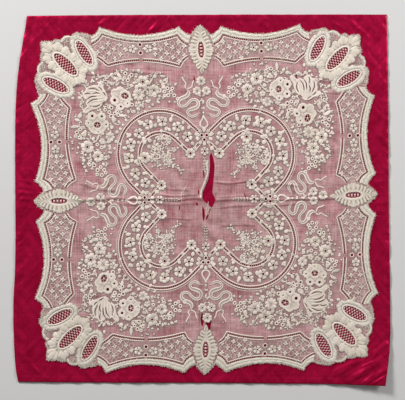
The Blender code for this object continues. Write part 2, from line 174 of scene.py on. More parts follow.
def in_window(centre: tuple, lean: float, along: Points, across: Points) -> Points:
    """Points of the pattern from sizes along and across an axis that leans clockwise from +v."""
    sine, cosine = math.sin(math.radians(lean)), math.cos(math.radians(lean))
    u = centre[0] + along * sine + across * cosine
    return np.column_stack([u, centre[1] + along * cosine - across * sine])


def inside(points: Points, loop: Points) -> Points:
    """Which points lie in a closed polygon, by counting the edges to their right."""
    ends = np.roll(loop, -1, axis=0)
    crosses = (loop[:, 1] > points[:, None, 1]) != (ends[:, 1] > points[:, None, 1])
    rise = np.where(ends[:, 1] == loop[:, 1], 1, ends[:, 1] - loop[:, 1])
    reach = loop[:, 0] + (points[:, None, 1] - loop[:, 1]) * (ends[:, 0] - loop[:, 0]) / rise
    return (crosses & (points[:, None, 0] < reach)).sum(axis=1) % 2 == 1


def to_edge(points: Points, loop: Points) -> Points:
    """Distance from each point to a closed polygon's nearest edge."""
    span = np.roll(loop, -1, axis=0) - loop
    nearest = np.full(len(points), np.inf)
    for first in range(0, len(loop), 64):
        part, run = loop[first : first + 64], span[first : first + 64]
        offset = points[:, None] - part[None]
        share = np.clip((offset * run).sum(2) / np.maximum((run * run).sum(1), 1e-9), 0, 1)
        nearest = np.minimum(nearest, np.linalg.norm(offset - share[..., None] * run, axis=2).min(axis=1))
    return nearest


def ripples(points: Points, length: float, seed: int) -> Points:
    """Smooth noise from -1 to 1: a sum of eight plane waves of about that length, in random directions."""
    rng = np.random.default_rng(seed)
    angle = rng.uniform(0, 2 * math.pi, 8)
    phase = rng.uniform(0, 2 * math.pi, 8)
    pitch = length * rng.uniform(0.7, 1.5, 8)
    waves = np.column_stack([np.cos(angle), np.sin(angle)]) * (2 * math.pi / pitch)[:, None]
    return np.sin(points @ waves.T + phase).sum(axis=1) / 4.0


def ridge(points: Points, start: tuple, end: tuple, half_width: float, crest: float, ends: float) -> Points:
    """Height of a soft ridge over a segment: crest times smooth falls to its sides and its ends."""
    start, end = np.array(start, float), np.array(end, float)
    span = end - start
    share = np.clip((points - start) @ span / (span @ span), 0, 1)
    off = np.linalg.norm(points - start - share[:, None] * span, axis=1)
    fade = smooth_step(0, ends, share) * smooth_step(0, ends, 1 - share)
    return crest * fade * (1 - smooth_step(0, half_width, off))


# Where the cloths lie


class ClothLie:
    """How the two cloths lie: the pattern's warp, the lifted corner, the folds and the levels."""

    CENTRE = (3.1, 0.3)
    LIFTED_CORNER = (219.1, -222.1)
    LIFT_HEIGHT = 7.0
    LIFT_REACH = 95.0
    LAWN_LEVEL = 1.75
    # A pattern point in millimetres and how far it has moved from there
    WARP = {
        "middle": (0, 0, 1.6, 0.4), "rosette_top": (0, 73.8, 0.0, 1.3),
        "rosette_left": (-73.8, 0, 4.2, -0.8), "rosette_right": (73.8, 0, 3.4, 0.7),
        "rosette_bottom": (0, -73.8, 1.8, 0.2), "medallion_top": (0, 178, -3.8, 1.4),
        "medallion_left": (-178, 0, 4.1, -1.8), "medallion_right": (178, 0, 0.6, 5.4),
        "medallion_bottom": (0, -178, 1.6, -2.0), "corner_top_left": (-164, 164, -2.2, -2.0),
        "corner_top_right": (164, 164, -4.4, 5.2), "corner_bottom_left": (-164, -164, 3.5, -1.2),
        "corner_bottom_right": (164, -164, 4.3, 2.5), "point_top_left": (-118, 206, -7.6, 0.1),
        "point_top_right": (118, 206, -4.0, 3.6), "point_right_top": (206, 118, -2.5, 5.8),
        "point_right_bottom": (206, -118, 1.6, 6.0), "point_bottom_right": (118, -206, 0.7, 2.0),
        "point_bottom_left": (-118, -206, 0.8, -1.1), "point_left_bottom": (-206, -118, 3.5, -0.2),
        "point_left_top": (-206, 118, -1.6, -3.5),
    }
    # Creases where the lawn was folded, in millimetres of the frame: from, to, half width, height
    CREASES = (
        ((-176, 1), (176, 1), 3.0, 1.3), ((14, 20), (64, 22), 2.0, 1.2), ((60, 21), (120, 17), 2.4, 0.8),
        ((14, 4), (140, 5), 2.5, 0.6), ((-150, 20), (-100, 10), 3.5, 0.8), ((-120, -6), (0, -4), 3.0, 0.6),
        ((-3, -170), (-3, -80), 4.0, 0.9), ((-2, 60), (-2, 170), 4.0, 0.8),
        ((60, -30), (63, 50), 3.0, 0.35), ((-60, -50), (-58, 60), 3.0, 0.35),
        ((-54, 5.5), (-4, 4.6), 2.2, 1.0), ((-48, 14), (-12, 11), 2.2, 0.6),
        ((18, -8), (120, -5), 2.4, 0.7), ((-60, -20), (-10, -24), 2.2, 0.5),
        ((20, -32), (66, -29), 2.2, 0.5), ((-88, 154), (-40, 151), 2.6, 0.8),
        ((40, 152), (92, 155), 2.6, 0.7), ((-120, 128), (-96, 131), 2.4, 0.5),
        ((-138, 150), (-116, 152), 2.4, 0.7), ((-153, 137), (-136, 138), 2.4, 0.7),
        ((137, 143), (155, 141), 2.4, 0.7), ((151, 129), (166, 128), 2.4, 0.7),
        ((134, -139), (152, -141), 2.4, 0.6), ((-150, -128), (-132, -130), 2.4, 0.6),
    )

    def __init__(self) -> None:
        """Solves the thin-plate weights that carry every WARP point by its own shift."""
        table = np.array(list(self.WARP.values()), float)
        self.anchors, shifts = table[:, :2], table[:, 2:]
        spans = np.linalg.norm(self.anchors[:, None] - self.anchors[None], axis=2)
        plain = np.column_stack([np.ones(len(table)), self.anchors])
        system = np.block([[self.bend(spans), plain], [plain.T, np.zeros((3, 3))]])
        self.weights = np.linalg.solve(system, np.vstack([shifts, np.zeros((3, 2))]))

    @staticmethod
    def bend(distance: Points) -> Points:
        """The thin-plate kernel, distance squared times its logarithm."""
        return distance**2 * np.log(np.maximum(distance, 1e-9))

    def place(self, pattern: Points) -> Points:
        """Pattern points, in squares, as millimetres of the frame.

        The shift of a point is the sum of the anchors' weights times the kernel of its distance to each,
        plus a plane.
        """
        pattern = np.asarray(pattern, float).reshape(-1, 2) * SQUARE
        spans = np.linalg.norm(pattern[:, None] - self.anchors[None], axis=2)
        terms = np.column_stack([self.bend(spans), np.ones(len(pattern)), pattern])
        return pattern + terms @ self.weights + np.array(self.CENTRE)

    def lift(self, points: Points) -> Points:
        """Height of the lifted corner: its height times the square of the nearness to it."""
        away = np.linalg.norm(points - np.array(self.LIFTED_CORNER), axis=1)
        return self.LIFT_HEIGHT * np.clip(1 - away / self.LIFT_REACH, 0, 1) ** 2

    @staticmethod
    def wavered(points: Points) -> Points:
        """Points moved up or down by smooth noise, so that no crease runs quite straight."""
        return points + np.outer(ripples(points, 34, 9), (0, 1.1))

    def lawn(self, points: Points) -> Points:
        """Height of the lawn at points of the frame: its level, the lift, the creases and small ripples."""
        bent = self.wavered(points)
        folds = np.maximum.reduce([ridge(bent, *row, 0.12) for row in self.CREASES])
        slack = 0.22 * (1 + ripples(points, 17, 3)) * (1 - smooth_step(150, 200, np.abs(points).max(axis=1)))
        return self.LAWN_LEVEL + self.lift(points) + folds + slack

    def crease_shade(self, points: Points) -> Points:
        """From 0 to 1, painted shade on the cloth: darker just under each crease, and a shade below the
        middle.
        """
        bent = self.wavered(points) + (0, 1.4)
        lines = np.maximum.reduce([ridge(bent, start, end, 1.7, 1.0, 0.1) for start, end, *_ in self.CREASES])
        lines *= 0.62 + 0.38 * np.clip(ripples(points, 20, 12), -1, 1)
        shade = 1 - smooth_step(0.45, 1.0, np.hypot((points[:, 0] - 6) / 66, (points[:, 1] + 30) / 42))
        return np.clip(lines + 0.30 * shade, 0, 1)

    def crease_rows(self) -> Points:
        """Points of the frame in close rows along every crease, for the cloth to bend at."""
        rows = []
        for start, end, *_ in self.CREASES:
            path = arc(start, end, 0, max(3, round(math.dist(start, end) / 1.7)))
            rows += [path + side_of(path) * aside for aside in (-2.8, -1.9, -1.2, -0.5, 0.3, 1.1, 2.0)]
        return np.vstack(rows)


# Thread shapes


class PetalShape(Enum):
    """Half widths and heights of a padded stitch, by share of its length."""

    ROUND = "round"
    LEAF = "leaf"
    DROP = "drop"
    DISC = "disc"

    def half_width(self, share: Points) -> Points:
        """Share of the full half width at each share of the length.

        A round petal widens as a sine to six tenths of its length and closes in a quarter ellipse. A leaf
        is a sine, a drop is a sine skewed to its root, and a disc is a circle.
        """
        if self is PetalShape.ROUND:
            tip = np.sqrt(np.clip(1 - ((share - 0.6) / 0.4) ** 2, 0, 1))
            root = 0.34 + 0.66 * np.sin(0.5 * math.pi * np.clip(share / 0.6, 0, 1))
            return np.where(share > 0.6, tip, root) * (share > 0)
        if self is PetalShape.LEAF:
            return np.sin(math.pi * share) ** 0.85
        if self is PetalShape.DROP:
            return np.sin(math.pi * share**0.6)
        return np.sqrt(np.clip(1 - (2 * share - 1) ** 2, 0, 1))


@dataclass
class Needlework:
    """One piece of embroidery: surfaces gathered on the pattern's grid, then laid on the cloth."""

    name: str
    finish: "Floss"
    relief: float = 0.62
    shadow_skirt: float = 0.38
    uneven: float = 0.34
    spots: list = field(default_factory=list)
    faces: list = field(default_factory=list)
    threads: list = field(default_factory=list)
    tones: list = field(default_factory=list)
    count: int = 0

    def take(self, spots: Points, faces: Points, thread: Points, tone: Points) -> None:
        """Adds a surface.

        Args:
            spots: (n, 3) points: two in squares of the grid and a height in millimetres over the lawn.
            faces: (m, 4) corners of its quads.
            thread: (n, 2) millimetres along and across the thread's lay, for the stitch lines.
            tone: (n,) 1 for clean thread and 0 for the painted shade of a hollow or a foot.
        """
        self.spots.append(spots)
        self.faces.append(faces + self.count)
        self.threads.append(thread)
        self.tones.append(tone)
        self.count += len(spots)

    @staticmethod
    def grid_faces(rows: int, columns: int, closed: bool = False) -> Points:
        """Quads of a grid whose points go row by row; closed joins the last row to the first."""
        top = np.arange(rows if closed else rows - 1)[:, None]
        left = np.arange(columns - 1)[None]
        here, below = top * columns + left, (top + 1) % rows * columns + left
        return np.stack([here, here + 1, below + 1, below], axis=-1).reshape(-1, 4)

    def petals(self, rows: list | Points, shape: PetalShape, fine: bool = False) -> None:
        """Padded satin stitches, one for each row, each with a dark skirt of painted shadow on the cloth.

        Each is the surface of share s along and t across: s * length ahead, t * half width of s aside, and
        rise * (1 - |t|^3)^0.6 * sin(pi s)^0.3 high. A fine one has a rim and a lower inside.

        Args:
            rows: (u, v, turn in degrees, length, width, rise) for each: its root and the way it points.
            shape: the outline.
            fine: more rows of points and a raised rim, for large petals.
        """
        rows = np.asarray(rows, float).reshape(-1, 6)
        share = np.linspace(0, 1, 9 if fine else 6)
        if fine:
            across = np.array([-1.0, -1.03, -0.95, -0.78, -0.45, 0, 0.45, 0.78, 0.95, 1.03, 1.0])
            rise = np.array([0, 0, 0.62, 1.0, 0.74, 0.86, 0.74, 1.0, 0.62, 0, 0])
            toned = np.array([0, 0, 0.95, 1.0, 0.78, 0.86, 0.78, 1.0, 0.95, 0, 0])
        else:
            across = np.array([-1.0, -1.04, -0.94, -0.5, 0.5, 0.94, 1.04, 1.0])
            rise = np.array([0, 0, 0.6, 1.0, 1.0, 0.6, 0, 0])
            toned = np.array([0, 0, 0.95, 0.9, 0.9, 0.95, 0, 0])
        s, t = np.meshgrid(share, across, indexing="ij")
        half = shape.half_width(s)
        body = np.abs(t) < 1
        # The skirt is a dark fringe at tone 0 round each stitch: painted shadow on the cloth.
        shadow_skirt = np.zeros_like(across)
        shadow_skirt[[0, -1]] = -self.shadow_skirt, self.shadow_skirt
        dome = rise[None] * np.sin(math.pi * np.clip(s, 0.02, 0.98)) ** 0.3 * (half > 0)
        tone = toned[None] * body * (half > 0)
        turn, length, width, tall = np.radians(rows[:, 2]), rows[:, 3], rows[:, 4], rows[:, 5]
        reach = np.array([-0.6, *np.zeros(len(share) - 2), 0.6])[:, None] * np.abs(shadow_skirt[None])
        ahead = length[:, None] * s.ravel() + reach.ravel()
        aside = 0.5 * width[:, None] * (half * t).ravel() + np.tile(shadow_skirt, len(share))
        u = rows[:, 0, None] + ahead * np.cos(turn)[:, None] - aside * np.sin(turn)[:, None]
        v = rows[:, 1, None] + ahead * np.sin(turn)[:, None] + aside * np.cos(turn)[:, None]
        high = 0.85 * tall[:, None] * dome.ravel() + 0.02 + 0.05 * body.ravel()
        spots = np.stack([u, v, high], axis=-1).reshape(-1, 3)
        faces = self.repeated(self.grid_faces(len(share), len(across))[:, ::-1], s.size, len(rows))
        thread = np.stack([ahead * SQUARE, aside * SQUARE], axis=-1).reshape(-1, 2)
        vary = np.random.default_rng(len(rows)).uniform(1 - self.uneven, 1, len(rows))
        self.take(spots, faces, thread, (vary[:, None] * tone.ravel()).ravel())

    @staticmethod
    def repeated(faces: Points, points: int, copies: int) -> Points:
        """The faces of one shape for each of its copies, which have so many points each."""
        return (np.arange(copies)[:, None, None] * points + faces[None]).reshape(-1, 4)

    def rings(self, rows: list | Points, count: int = 12) -> None:
        """Overcast rings round eyelets: (u, v, hole radius, rim width, rise) for each.

        Each is half a torus: hole radius + rim * (1 - cos q) / 2 out from the middle and rise * sin q high,
        for q from 0 to pi.
        """
        rows = np.asarray(rows, float).reshape(-1, 5)
        around = np.linspace(0, 2 * math.pi, count, endpoint=False)
        over = np.linspace(0, math.pi, 5)
        a, q = np.meshgrid(around, over, indexing="ij")
        a, q = a.ravel(), q.ravel()
        u, v, hole, rim, rise = (rows[:, k, None] for k in range(5))
        out = hole + rim * (1 - np.cos(q)) / 2
        spots = np.stack([u + out * np.cos(a), v + out * np.sin(a), rise * np.sin(q) - 0.05], axis=-1)
        faces = self.repeated(self.grid_faces(count, len(over), closed=True)[:, ::-1], len(a), len(rows))
        thread = np.stack([a * (hole + rim) * SQUARE, out * SQUARE], axis=-1).reshape(-1, 2)
        # The tone falls towards the feet of the rim: painted shade.
        self.take(spots.reshape(-1, 3), faces, thread, np.tile(0.3 + 0.7 * np.sin(q), len(rows)))

    def flowers(self, rows: list | Points, cut: "Lawn") -> None:
        """Flowers of padded petals round an eyelet, with the eyelet cut from the lawn.

        Args:
            rows: (u, v, turn in degrees, petals, eye radius, reach, width of a petal, rise) for each.
            cut: the lawn that the eyes are cut from.
        """
        rows = np.asarray(rows, float).reshape(-1, 8)
        petals = []
        for u, v, turn, number, eye, reach, width, rise in rows:
            angle = np.radians(turn + np.arange(int(number)) * 360 / number)
            start = eye + 0.35
            wide = min(width, 2.15 * math.pi * (0.55 * reach + 0.45 * start) / number)
            roots = np.column_stack([u + start * np.cos(angle), v + start * np.sin(angle), np.degrees(angle)])
            petals.append(with_sizes(roots, reach - start, wide, rise))
        self.petals(np.vstack(petals), PetalShape.ROUND)
        rims = [rows[:, 0], rows[:, 1], rows[:, 4], np.full(len(rows), 0.75), 0.85 * rows[:, 7]]
        self.rings(np.column_stack(rims))
        cut.eyes(rows[:, [0, 1, 4]] * (1, 1, 0.95))

    def bars(self, rows: list | Points) -> None:
        """Straight threads: (u, v, other u, other v, width, rise) for each, three points across."""
        rows = np.asarray(rows, float).reshape(-1, 6)
        start, end, wide, rise = rows[:, :2], rows[:, 2:4], rows[:, 4], rows[:, 5]
        way = end - start
        length = np.maximum(np.linalg.norm(way, axis=1), 1e-9)
        side = np.column_stack([-way[:, 1], way[:, 0]]) / length[:, None] * wide[:, None] / 2
        spots = []
        for point in (start, end):
            for aside, high in ((-1, 0.0), (0, 1.0), (1, 0.0)):
                spots.append(np.column_stack([point + aside * side, rise - (1 - high) * wide * SQUARE / 2]))
        spots = np.stack(spots, axis=1).reshape(-1, 3)
        faces = self.repeated(np.array([[0, 3, 4, 1], [1, 4, 5, 2]]), 6, len(rows))
        ahead = np.outer(length * SQUARE, [0, 0, 0, 1, 1, 1])
        aside = np.outer(wide * SQUARE / 2, [-1, 0, 1, -1, 0, 1])
        thread = np.stack([ahead, aside], axis=-1).reshape(-1, 2)
        # The tone is lower at the sides: painted shade.
        self.take(spots, faces, thread, np.tile([0.5, 1, 0.5, 0.5, 1, 0.5], len(rows)))

    def bars_round(self, start: Points, end: Points, width: float, rise: float) -> None:
        """Straight threads from each start to its end, in all four quarters."""
        for quarter in range(4):
            ends = np.column_stack([turned(start, quarter), turned(end, quarter)])
            self.bars(with_sizes(ends, width, rise))

    def cord(self, path: Points, width: float, rise: float, closed: bool = False, lean: float = 0.0) -> None:
        """A couched cord along a path: a half round of that width and rise, tapered at open ends.

        Args:
            path: points about evenly spaced.
            width: its width in squares.
            rise: its height in millimetres.
            closed: whether it meets itself.
            lean: moves it to the left of the path by so many squares.
        """
        over = np.linspace(0, math.pi, 6)
        side = side_of(path, closed)
        along = lengths(path)
        taper = np.ones(len(path))
        if not closed:
            taper = np.sqrt(np.clip(np.minimum(along, along[-1] - along) / (0.5 * width), 0.02, 1))
        wobble = 1 + 0.12 * np.sin(along * 1.7 + path[:, 0]) * np.sin(along * 0.63)
        half = 0.5 * width * taper * wobble
        aside = lean - half[:, None] * np.cos(over)[None]
        flat = path[:, None] + side[:, None] * aside[..., None]
        spots = np.dstack([flat, rise * taper[:, None] * np.sin(over)[None] - 0.05]).reshape(-1, 3)
        faces = self.grid_faces(len(path), len(over), closed)
        thread = np.dstack([np.tile(along[:, None] * SQUARE, (1, len(over))), aside * SQUARE]).reshape(-1, 2)
        # Tone 0 at both feet: painted shade along the cord's sides.
        self.take(spots, faces, thread, np.tile([0, 0.78, 1, 1, 0.78, 0], len(path)))

    def cords_round(self, path: Points, width: float, rise: float, closed: bool = False) -> None:
        """The same cord in all four quarters."""
        for copy in all_round([path]):
            self.cord(copy, width, rise, closed)

    def nap(
        self, edge: Points, outward: Points, reach: float, share: float, rng: np.random.Generator
    ) -> None:
        """Loose thread ends over an edge, to about reach beyond it, at a share of its points."""
        keep = rng.random(len(edge)) < share
        count = keep.sum()
        root = edge[keep] - outward[keep] * rng.uniform(0.5, 1.6, count)[:, None]
        tip = edge[keep] + outward[keep] * rng.uniform(0.2, 1.0, count)[:, None] * reach
        tip += rng.normal(0, 0.45, tip.shape)
        self.bars(np.column_stack([root, tip, rng.uniform(0.16, 0.32, count), rng.uniform(0.25, 1.0, count)]))

    def band(
        self, outer: Points, inner: Points, section: tuple, closed: bool = False, ragged: float = 0.0,
        knobbly: float = 0.0,
    ) -> None:
        """A ruled band between two paths with the same number of points.

        Args:
            outer: its outer path.
            inner: its inner path.
            section: (share of the way in, rise, tone) for each line of points across it.
            closed: whether it meets itself.
            ragged: how far its outer edge wavers, in squares.
            knobbly: share by which its height and tone vary.
        """
        share, rise, tone = (np.array(column, float) for column in zip(*section))
        along = lengths(outer)
        waver = ragged * (np.sin(along * 2.9 + outer[:, 0]) + np.sin(along * 4.7 + outer[:, 1])) / 2
        reach = np.linalg.norm(inner - outer, axis=1)
        shift = waver[:, None] * (1 - share[None]) ** 2 / np.maximum(reach, 1e-6)[:, None]
        place = share[None] + shift
        spots = outer[:, None] * (1 - place[..., None]) + inner[:, None] * place[..., None]
        knobs = ripples(spots.reshape(-1, 2), 3.0, 13).reshape(place.shape)
        high = rise[None] * (1 + knobbly * knobs) - 0.05
        tone = np.clip(tone[None] * (1 + 0.6 * knobbly * np.roll(knobs, 1, axis=0)), 0, 1)
        faces = self.grid_faces(len(outer), len(share), closed)
        inward = reach[:, None] * share[None] * SQUARE
        thread = np.dstack([np.tile(along[:, None] * SQUARE, (1, len(share))), inward])
        ring = np.roll(outer, -1, axis=0)
        if (outer[:, 0] * ring[:, 1] - outer[:, 1] * ring[:, 0]).sum() > 0:
            faces = faces[:, ::-1]
        self.take(np.dstack([spots, high]).reshape(-1, 3), faces, thread.reshape(-1, 2), tone.ravel())

    def bands_round(
        self, outer: Points, inner: Points, section: tuple, mirror: bool = False, **ways: float
    ) -> None:
        """The same band in all four quarters, and mirrored there too if asked."""
        for one, other in zip(all_round([outer], mirror), all_round([inner], mirror)):
            self.band(one, other, section, **ways)

    def pad(
        self, loops: list[Points], rise: float, step: float, soften: float, rim: float = 0.0,
        clean: float = 1.0,
    ) -> None:
        """A padded patch cut to loops, the first its outline and the others holes.

        Args:
            loops: the outline, then the holes.
            rise: its height in millimetres.
            step: spacing of its points.
            soften: how far from an edge it reaches its height.
            rim: share by which a raised, lighter rim stands over the inside.
            clean: its tone.
        """
        flat, faces = cut_cloth(loops, grid_in(loops[0], step))
        off = np.minimum.reduce([to_edge(flat, loop) for loop in loops])
        dome = smooth_step(-0.2 * soften, soften, off)
        edge = np.exp(-(((off - soften) / soften) ** 2))
        high = rise * dome * (1 - rim + rim * edge) * (1 + 0.10 * ripples(flat, 3.1, 5)) - 0.04
        quads = np.column_stack([faces, faces[:, 2]])
        # Painted shade: the tone falls at the edges; with a rim, the inside is also toned lower.
        tone = dome * (1 - 0.8 * rim * (1 - edge)) * (1 + 0.08 * ripples(flat, 2.2, 6))
        self.take(np.column_stack([flat, high]), quads, flat * SQUARE, clean * np.clip(tone, 0, 1))

    def lines(self, paths: list | tuple, width: float, rise: float, tone: float) -> None:
        """Narrow strips of one tone over the padding, tapered to points, in all four quarters."""
        section = ((0, rise - 0.12, tone), (0.5, rise, tone), (1, rise - 0.12, tone))
        for stations in paths:
            path = smooth_path(stations, 0.8)
            half = 0.5 * width * np.sin(math.pi * np.linspace(0.04, 0.96, len(path))) ** 0.5
            side = side_of(path) * half[:, None]
            self.bands_round(path + side, path - side, section)

    def lay(self, lie: ClothLie) -> bpy.types.Object:
        """Lays the gathered surfaces on the cloth as one mesh, and returns its object."""
        spots = np.vstack(self.spots)
        place = lie.place(spots[:, :2])
        points = np.column_stack([place, lie.lawn(place) + spots[:, 2] * self.relief])
        masks = {"tone": np.concatenate(self.tones)}
        piece = make_piece(self.name, points, np.vstack(self.faces), np.vstack(self.threads), masks)
        return dress(piece, self.finish.material())


def cut_cloth(loops: list[Points], points: Points) -> tuple[Points, Points]:
    """Triangles that fill the first loop and leave out the others.

    Args:
        loops: closed polygons; the first is the outline and the others are holes.
        points: more points that the triangles use.

    Returns:
        The points and the triangles' corners, facing up.
    """
    vertices, edges = [], []
    for loop in loops:
        first = len(vertices)
        vertices += [Vector(p) for p in loop.tolist()]
        edges += [(first + i, first + (i + 1) % len(loop)) for i in range(len(loop))]
    vertices += [Vector(p) for p in points.tolist()]
    flat, _, faces, *_ = delaunay_2d_cdt(vertices, edges, [], 0, 1e-5)
    flat, faces = np.array([tuple(v) for v in flat]), np.array(faces)
    middles = flat[faces].mean(axis=1)
    keep = inside(middles, loops[0])
    for hole in loops[1:]:
        low, high = hole.min(axis=0), hole.max(axis=0)
        near = np.where(keep & ((middles > low) & (middles < high)).all(axis=1))[0]
        keep[near[inside(middles[near], hole)]] = False
    faces = faces[keep]
    a, b, c = (flat[faces[:, k]] for k in range(3))
    over = (b - a)[:, 0] * (c - a)[:, 1] < (b - a)[:, 1] * (c - a)[:, 0]
    faces[over] = faces[over][:, ::-1]
    used = np.unique(faces)
    renumbered = np.zeros(len(flat), int)
    renumbered[used] = np.arange(len(used))
    return flat[used], renumbered[faces]


def grid_in(loop: Points, step: float) -> Points:
    """A staggered grid of points inside a loop, kept off its edge."""
    low, high = loop.min(axis=0), loop.max(axis=0)
    u, v = np.meshgrid(np.arange(low[0], high[0], step), np.arange(low[1], high[1], step * 0.87))
    u = u + (np.arange(len(u)) % 2)[:, None] * step / 2
    grid = np.column_stack([u.ravel(), v.ravel()])
    grid = grid[inside(grid, loop)]
    return grid[to_edge(grid, loop) > 0.3 * step]


def make_piece(
    name: str, points: Points, faces: Points, thread: Points, masks: dict[str, Points]
) -> bpy.types.Object:
    """A smooth-shaded mesh object.

    Args:
        name: the piece's name.
        points: (n, 3) millimetres of the frame.
        faces: (m, 3) or (m, 4) corners; a quad whose last two corners are the same is a triangle.
        thread: (n, 2) the UV map "thread", in millimetres.
        masks: values from 0 to 1 for each point, by attribute name.

    Returns:
        The object, linked to the scene.
    """
    mesh = bpy.data.meshes.new(name)
    if faces.shape[1] == 4:
        triangles = faces[:, 2] == faces[:, 3]
        corners = faces[~triangles].tolist() + faces[triangles][:, :3].tolist()
    else:
        corners = faces.tolist()
    mesh.from_pydata((points * MM).tolist(), [], corners)
    mesh.polygons.foreach_set("use_smooth", np.ones(len(mesh.polygons), bool))
    at = np.empty(len(mesh.loops), np.int32)
    mesh.loops.foreach_get("vertex_index", at)
    mesh.uv_layers.new(name="thread").data.foreach_set("uv", thread[at].astype(np.float32).ravel())
    for mask, values in masks.items():
        mesh.attributes.new(mask, "FLOAT", "POINT").data.foreach_set("value", values.astype(np.float32))
    piece = bpy.data.objects.new(name, mesh)
    bpy.context.scene.collection.objects.link(piece)
    LOG.info("%s: %d points, %d faces", name, len(points), len(mesh.polygons))
    return piece


def dress(piece: bpy.types.Object, material: bpy.types.Material) -> bpy.types.Object:
    """Gives a piece its material and its body."""
    piece.data.materials.append(material)
    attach(piece, "root")
    return piece


# Finishes


class NodeSheet:
    """A short way to write shader nodes in one tree."""

    def __init__(self, tree: bpy.types.NodeTree) -> None:
        """Works on the given tree."""
        self.tree = tree

    def add(self, kind: str, links: dict | None = None, **settings: object) -> bpy.types.Node:
        """Adds a node of a kind, with settings, and links or values by socket name or number."""
        node = self.tree.nodes.new(kind)
        for key, value in settings.items():
            setattr(node, key, value)
        for key, value in (links or {}).items():
            if isinstance(value, bpy.types.NodeSocket):
                self.tree.links.new(value, node.inputs[key])
            else:
                node.inputs[key].default_value = value
        return node

    def maths(self, operation: str, *values: object) -> bpy.types.NodeSocket:
        """The result of a Math node."""
        return self.add("ShaderNodeMath", dict(enumerate(values)), operation=operation).outputs[0]

    def noise(self, vector: bpy.types.NodeSocket, scale: object, detail: float = 2.0) -> bpy.types.NodeSocket:
        """A noise value from 0 to 1, whose scale is a number or a socket."""
        return self.add("ShaderNodeTexNoise", {"Vector": vector, "Scale": scale, "Detail": detail}).outputs[0]

    def stretched(self, vector: bpy.types.NodeSocket, scale: tuple) -> bpy.types.NodeSocket:
        """A vector scaled on each axis."""
        return self.add("ShaderNodeMapping", {"Vector": vector, "Scale": scale}).outputs[0]

    def range(self, value: bpy.types.NodeSocket, low: float, high: float, to_low: float, to_high: float):
        """A value carried from one range to another and held there."""
        links = {"Value": value, 1: low, 2: high, 3: to_low, 4: to_high}
        return self.add("ShaderNodeMapRange", links).outputs[0]

    def mixed(self, share: bpy.types.NodeSocket, first: object, second: object) -> bpy.types.NodeSocket:
        """Two colours mixed by a share."""
        return self.add("ShaderNodeMix", {0: share, 6: first, 7: second}, data_type="RGBA").outputs[2]

    def place(self) -> bpy.types.NodeSocket:
        """Object coordinates, which are metres of the frame."""
        return self.add("ShaderNodeTexCoord").outputs["Object"]

    def mask(self, name: str) -> bpy.types.NodeSocket:
        """A mask that the piece's points carry."""
        return self.add("ShaderNodeAttribute", attribute_name=name).outputs["Fac"]

    def group(self, tree: bpy.types.NodeTree, values: dict[str, float] | None = None) -> bpy.types.Node:
        """A shared shader group, with its own values by input name."""
        return self.add("ShaderNodeGroup", values, node_tree=tree)

    def surface(
        self, shader: bpy.types.Node, colour: bpy.types.NodeSocket, height: bpy.types.NodeSocket,
        strength: float, depth: float,
    ) -> None:
        """Gives a shader its colour and a bump of that height, strength and depth in millimetres."""
        links = {"Height": height, "Strength": strength, "Distance": depth * MM}
        bump = self.add("ShaderNodeBump", links)
        self.tree.links.new(colour, shader.inputs["Base Color"])
        self.tree.links.new(bump.outputs[0], shader.inputs["Normal"])


def new_group(name: str, inputs: dict[str, float], outputs: list[str]) -> tuple[NodeSheet, object, object]:
    """An empty shader group with float sockets, and its input and output nodes."""
    tree = bpy.data.node_groups.new(name, "ShaderNodeTree")
    for label, value in inputs.items():
        tree.interface.new_socket(label, in_out="INPUT", socket_type="NodeSocketFloat").default_value = value
    for label in outputs:
        tree.interface.new_socket(label, in_out="OUTPUT", socket_type="NodeSocketFloat")
    sheet = NodeSheet(tree)
    return sheet, sheet.add("NodeGroupInput"), sheet.add("NodeGroupOutput")


def stitch_lines() -> bpy.types.NodeTree:
    """Thread lines across the stitch: a sine of the lay's length and slant, made uneven by noise."""
    found = bpy.data.node_groups.get("stitch_lines")
    if found:
        return found
    sheet, given, out = new_group("stitch_lines", {"Threads per mm": 2.4, "Slant": 0.0}, ["Line", "Fuzz"])
    lay = sheet.add("ShaderNodeUVMap", uv_map="thread").outputs[0]
    parts = sheet.add("ShaderNodeSeparateXYZ", {0: lay})
    slanted = sheet.maths("MULTIPLY_ADD", parts.outputs[1], given.outputs["Slant"], parts.outputs[0])
    place = sheet.place()
    waver = sheet.noise(place, 900.0)
    phase = sheet.maths("MULTIPLY", slanted, given.outputs["Threads per mm"])
    phase = sheet.maths("MULTIPLY_ADD", phase, 2 * math.pi, sheet.maths("MULTIPLY", waver, 3.0))
    line = sheet.range(sheet.maths("SINE", phase), -1, 1, 0, 1)
    sheet.tree.links.new(line, out.inputs["Line"])
    sheet.tree.links.new(sheet.noise(place, 2600.0, 3.0), out.inputs["Fuzz"])
    return sheet.tree


def wear_and_sheen() -> bpy.types.NodeTree:
    """Broad clouds and small spots, from 0 to 1: yellowing, soil and uneven cover on the thread and the lawn,
    and painted sheen on the silk.
    """
    found = bpy.data.node_groups.get("wear_and_sheen")
    if found:
        return found
    sheet, given, out = new_group("wear_and_sheen", {"Cloud": 18.0, "Spot": 160.0}, ["Clouds", "Spots"])
    place = sheet.place()
    for socket, scale, low, high in (("Clouds", "Cloud", 0.35, 0.7), ("Spots", "Spot", 0.45, 0.75)):
        noise = sheet.noise(place, given.outputs[scale], 3.0)
        sheet.tree.links.new(sheet.range(noise, low, high, 0, 1), out.inputs[socket])
    return sheet.tree


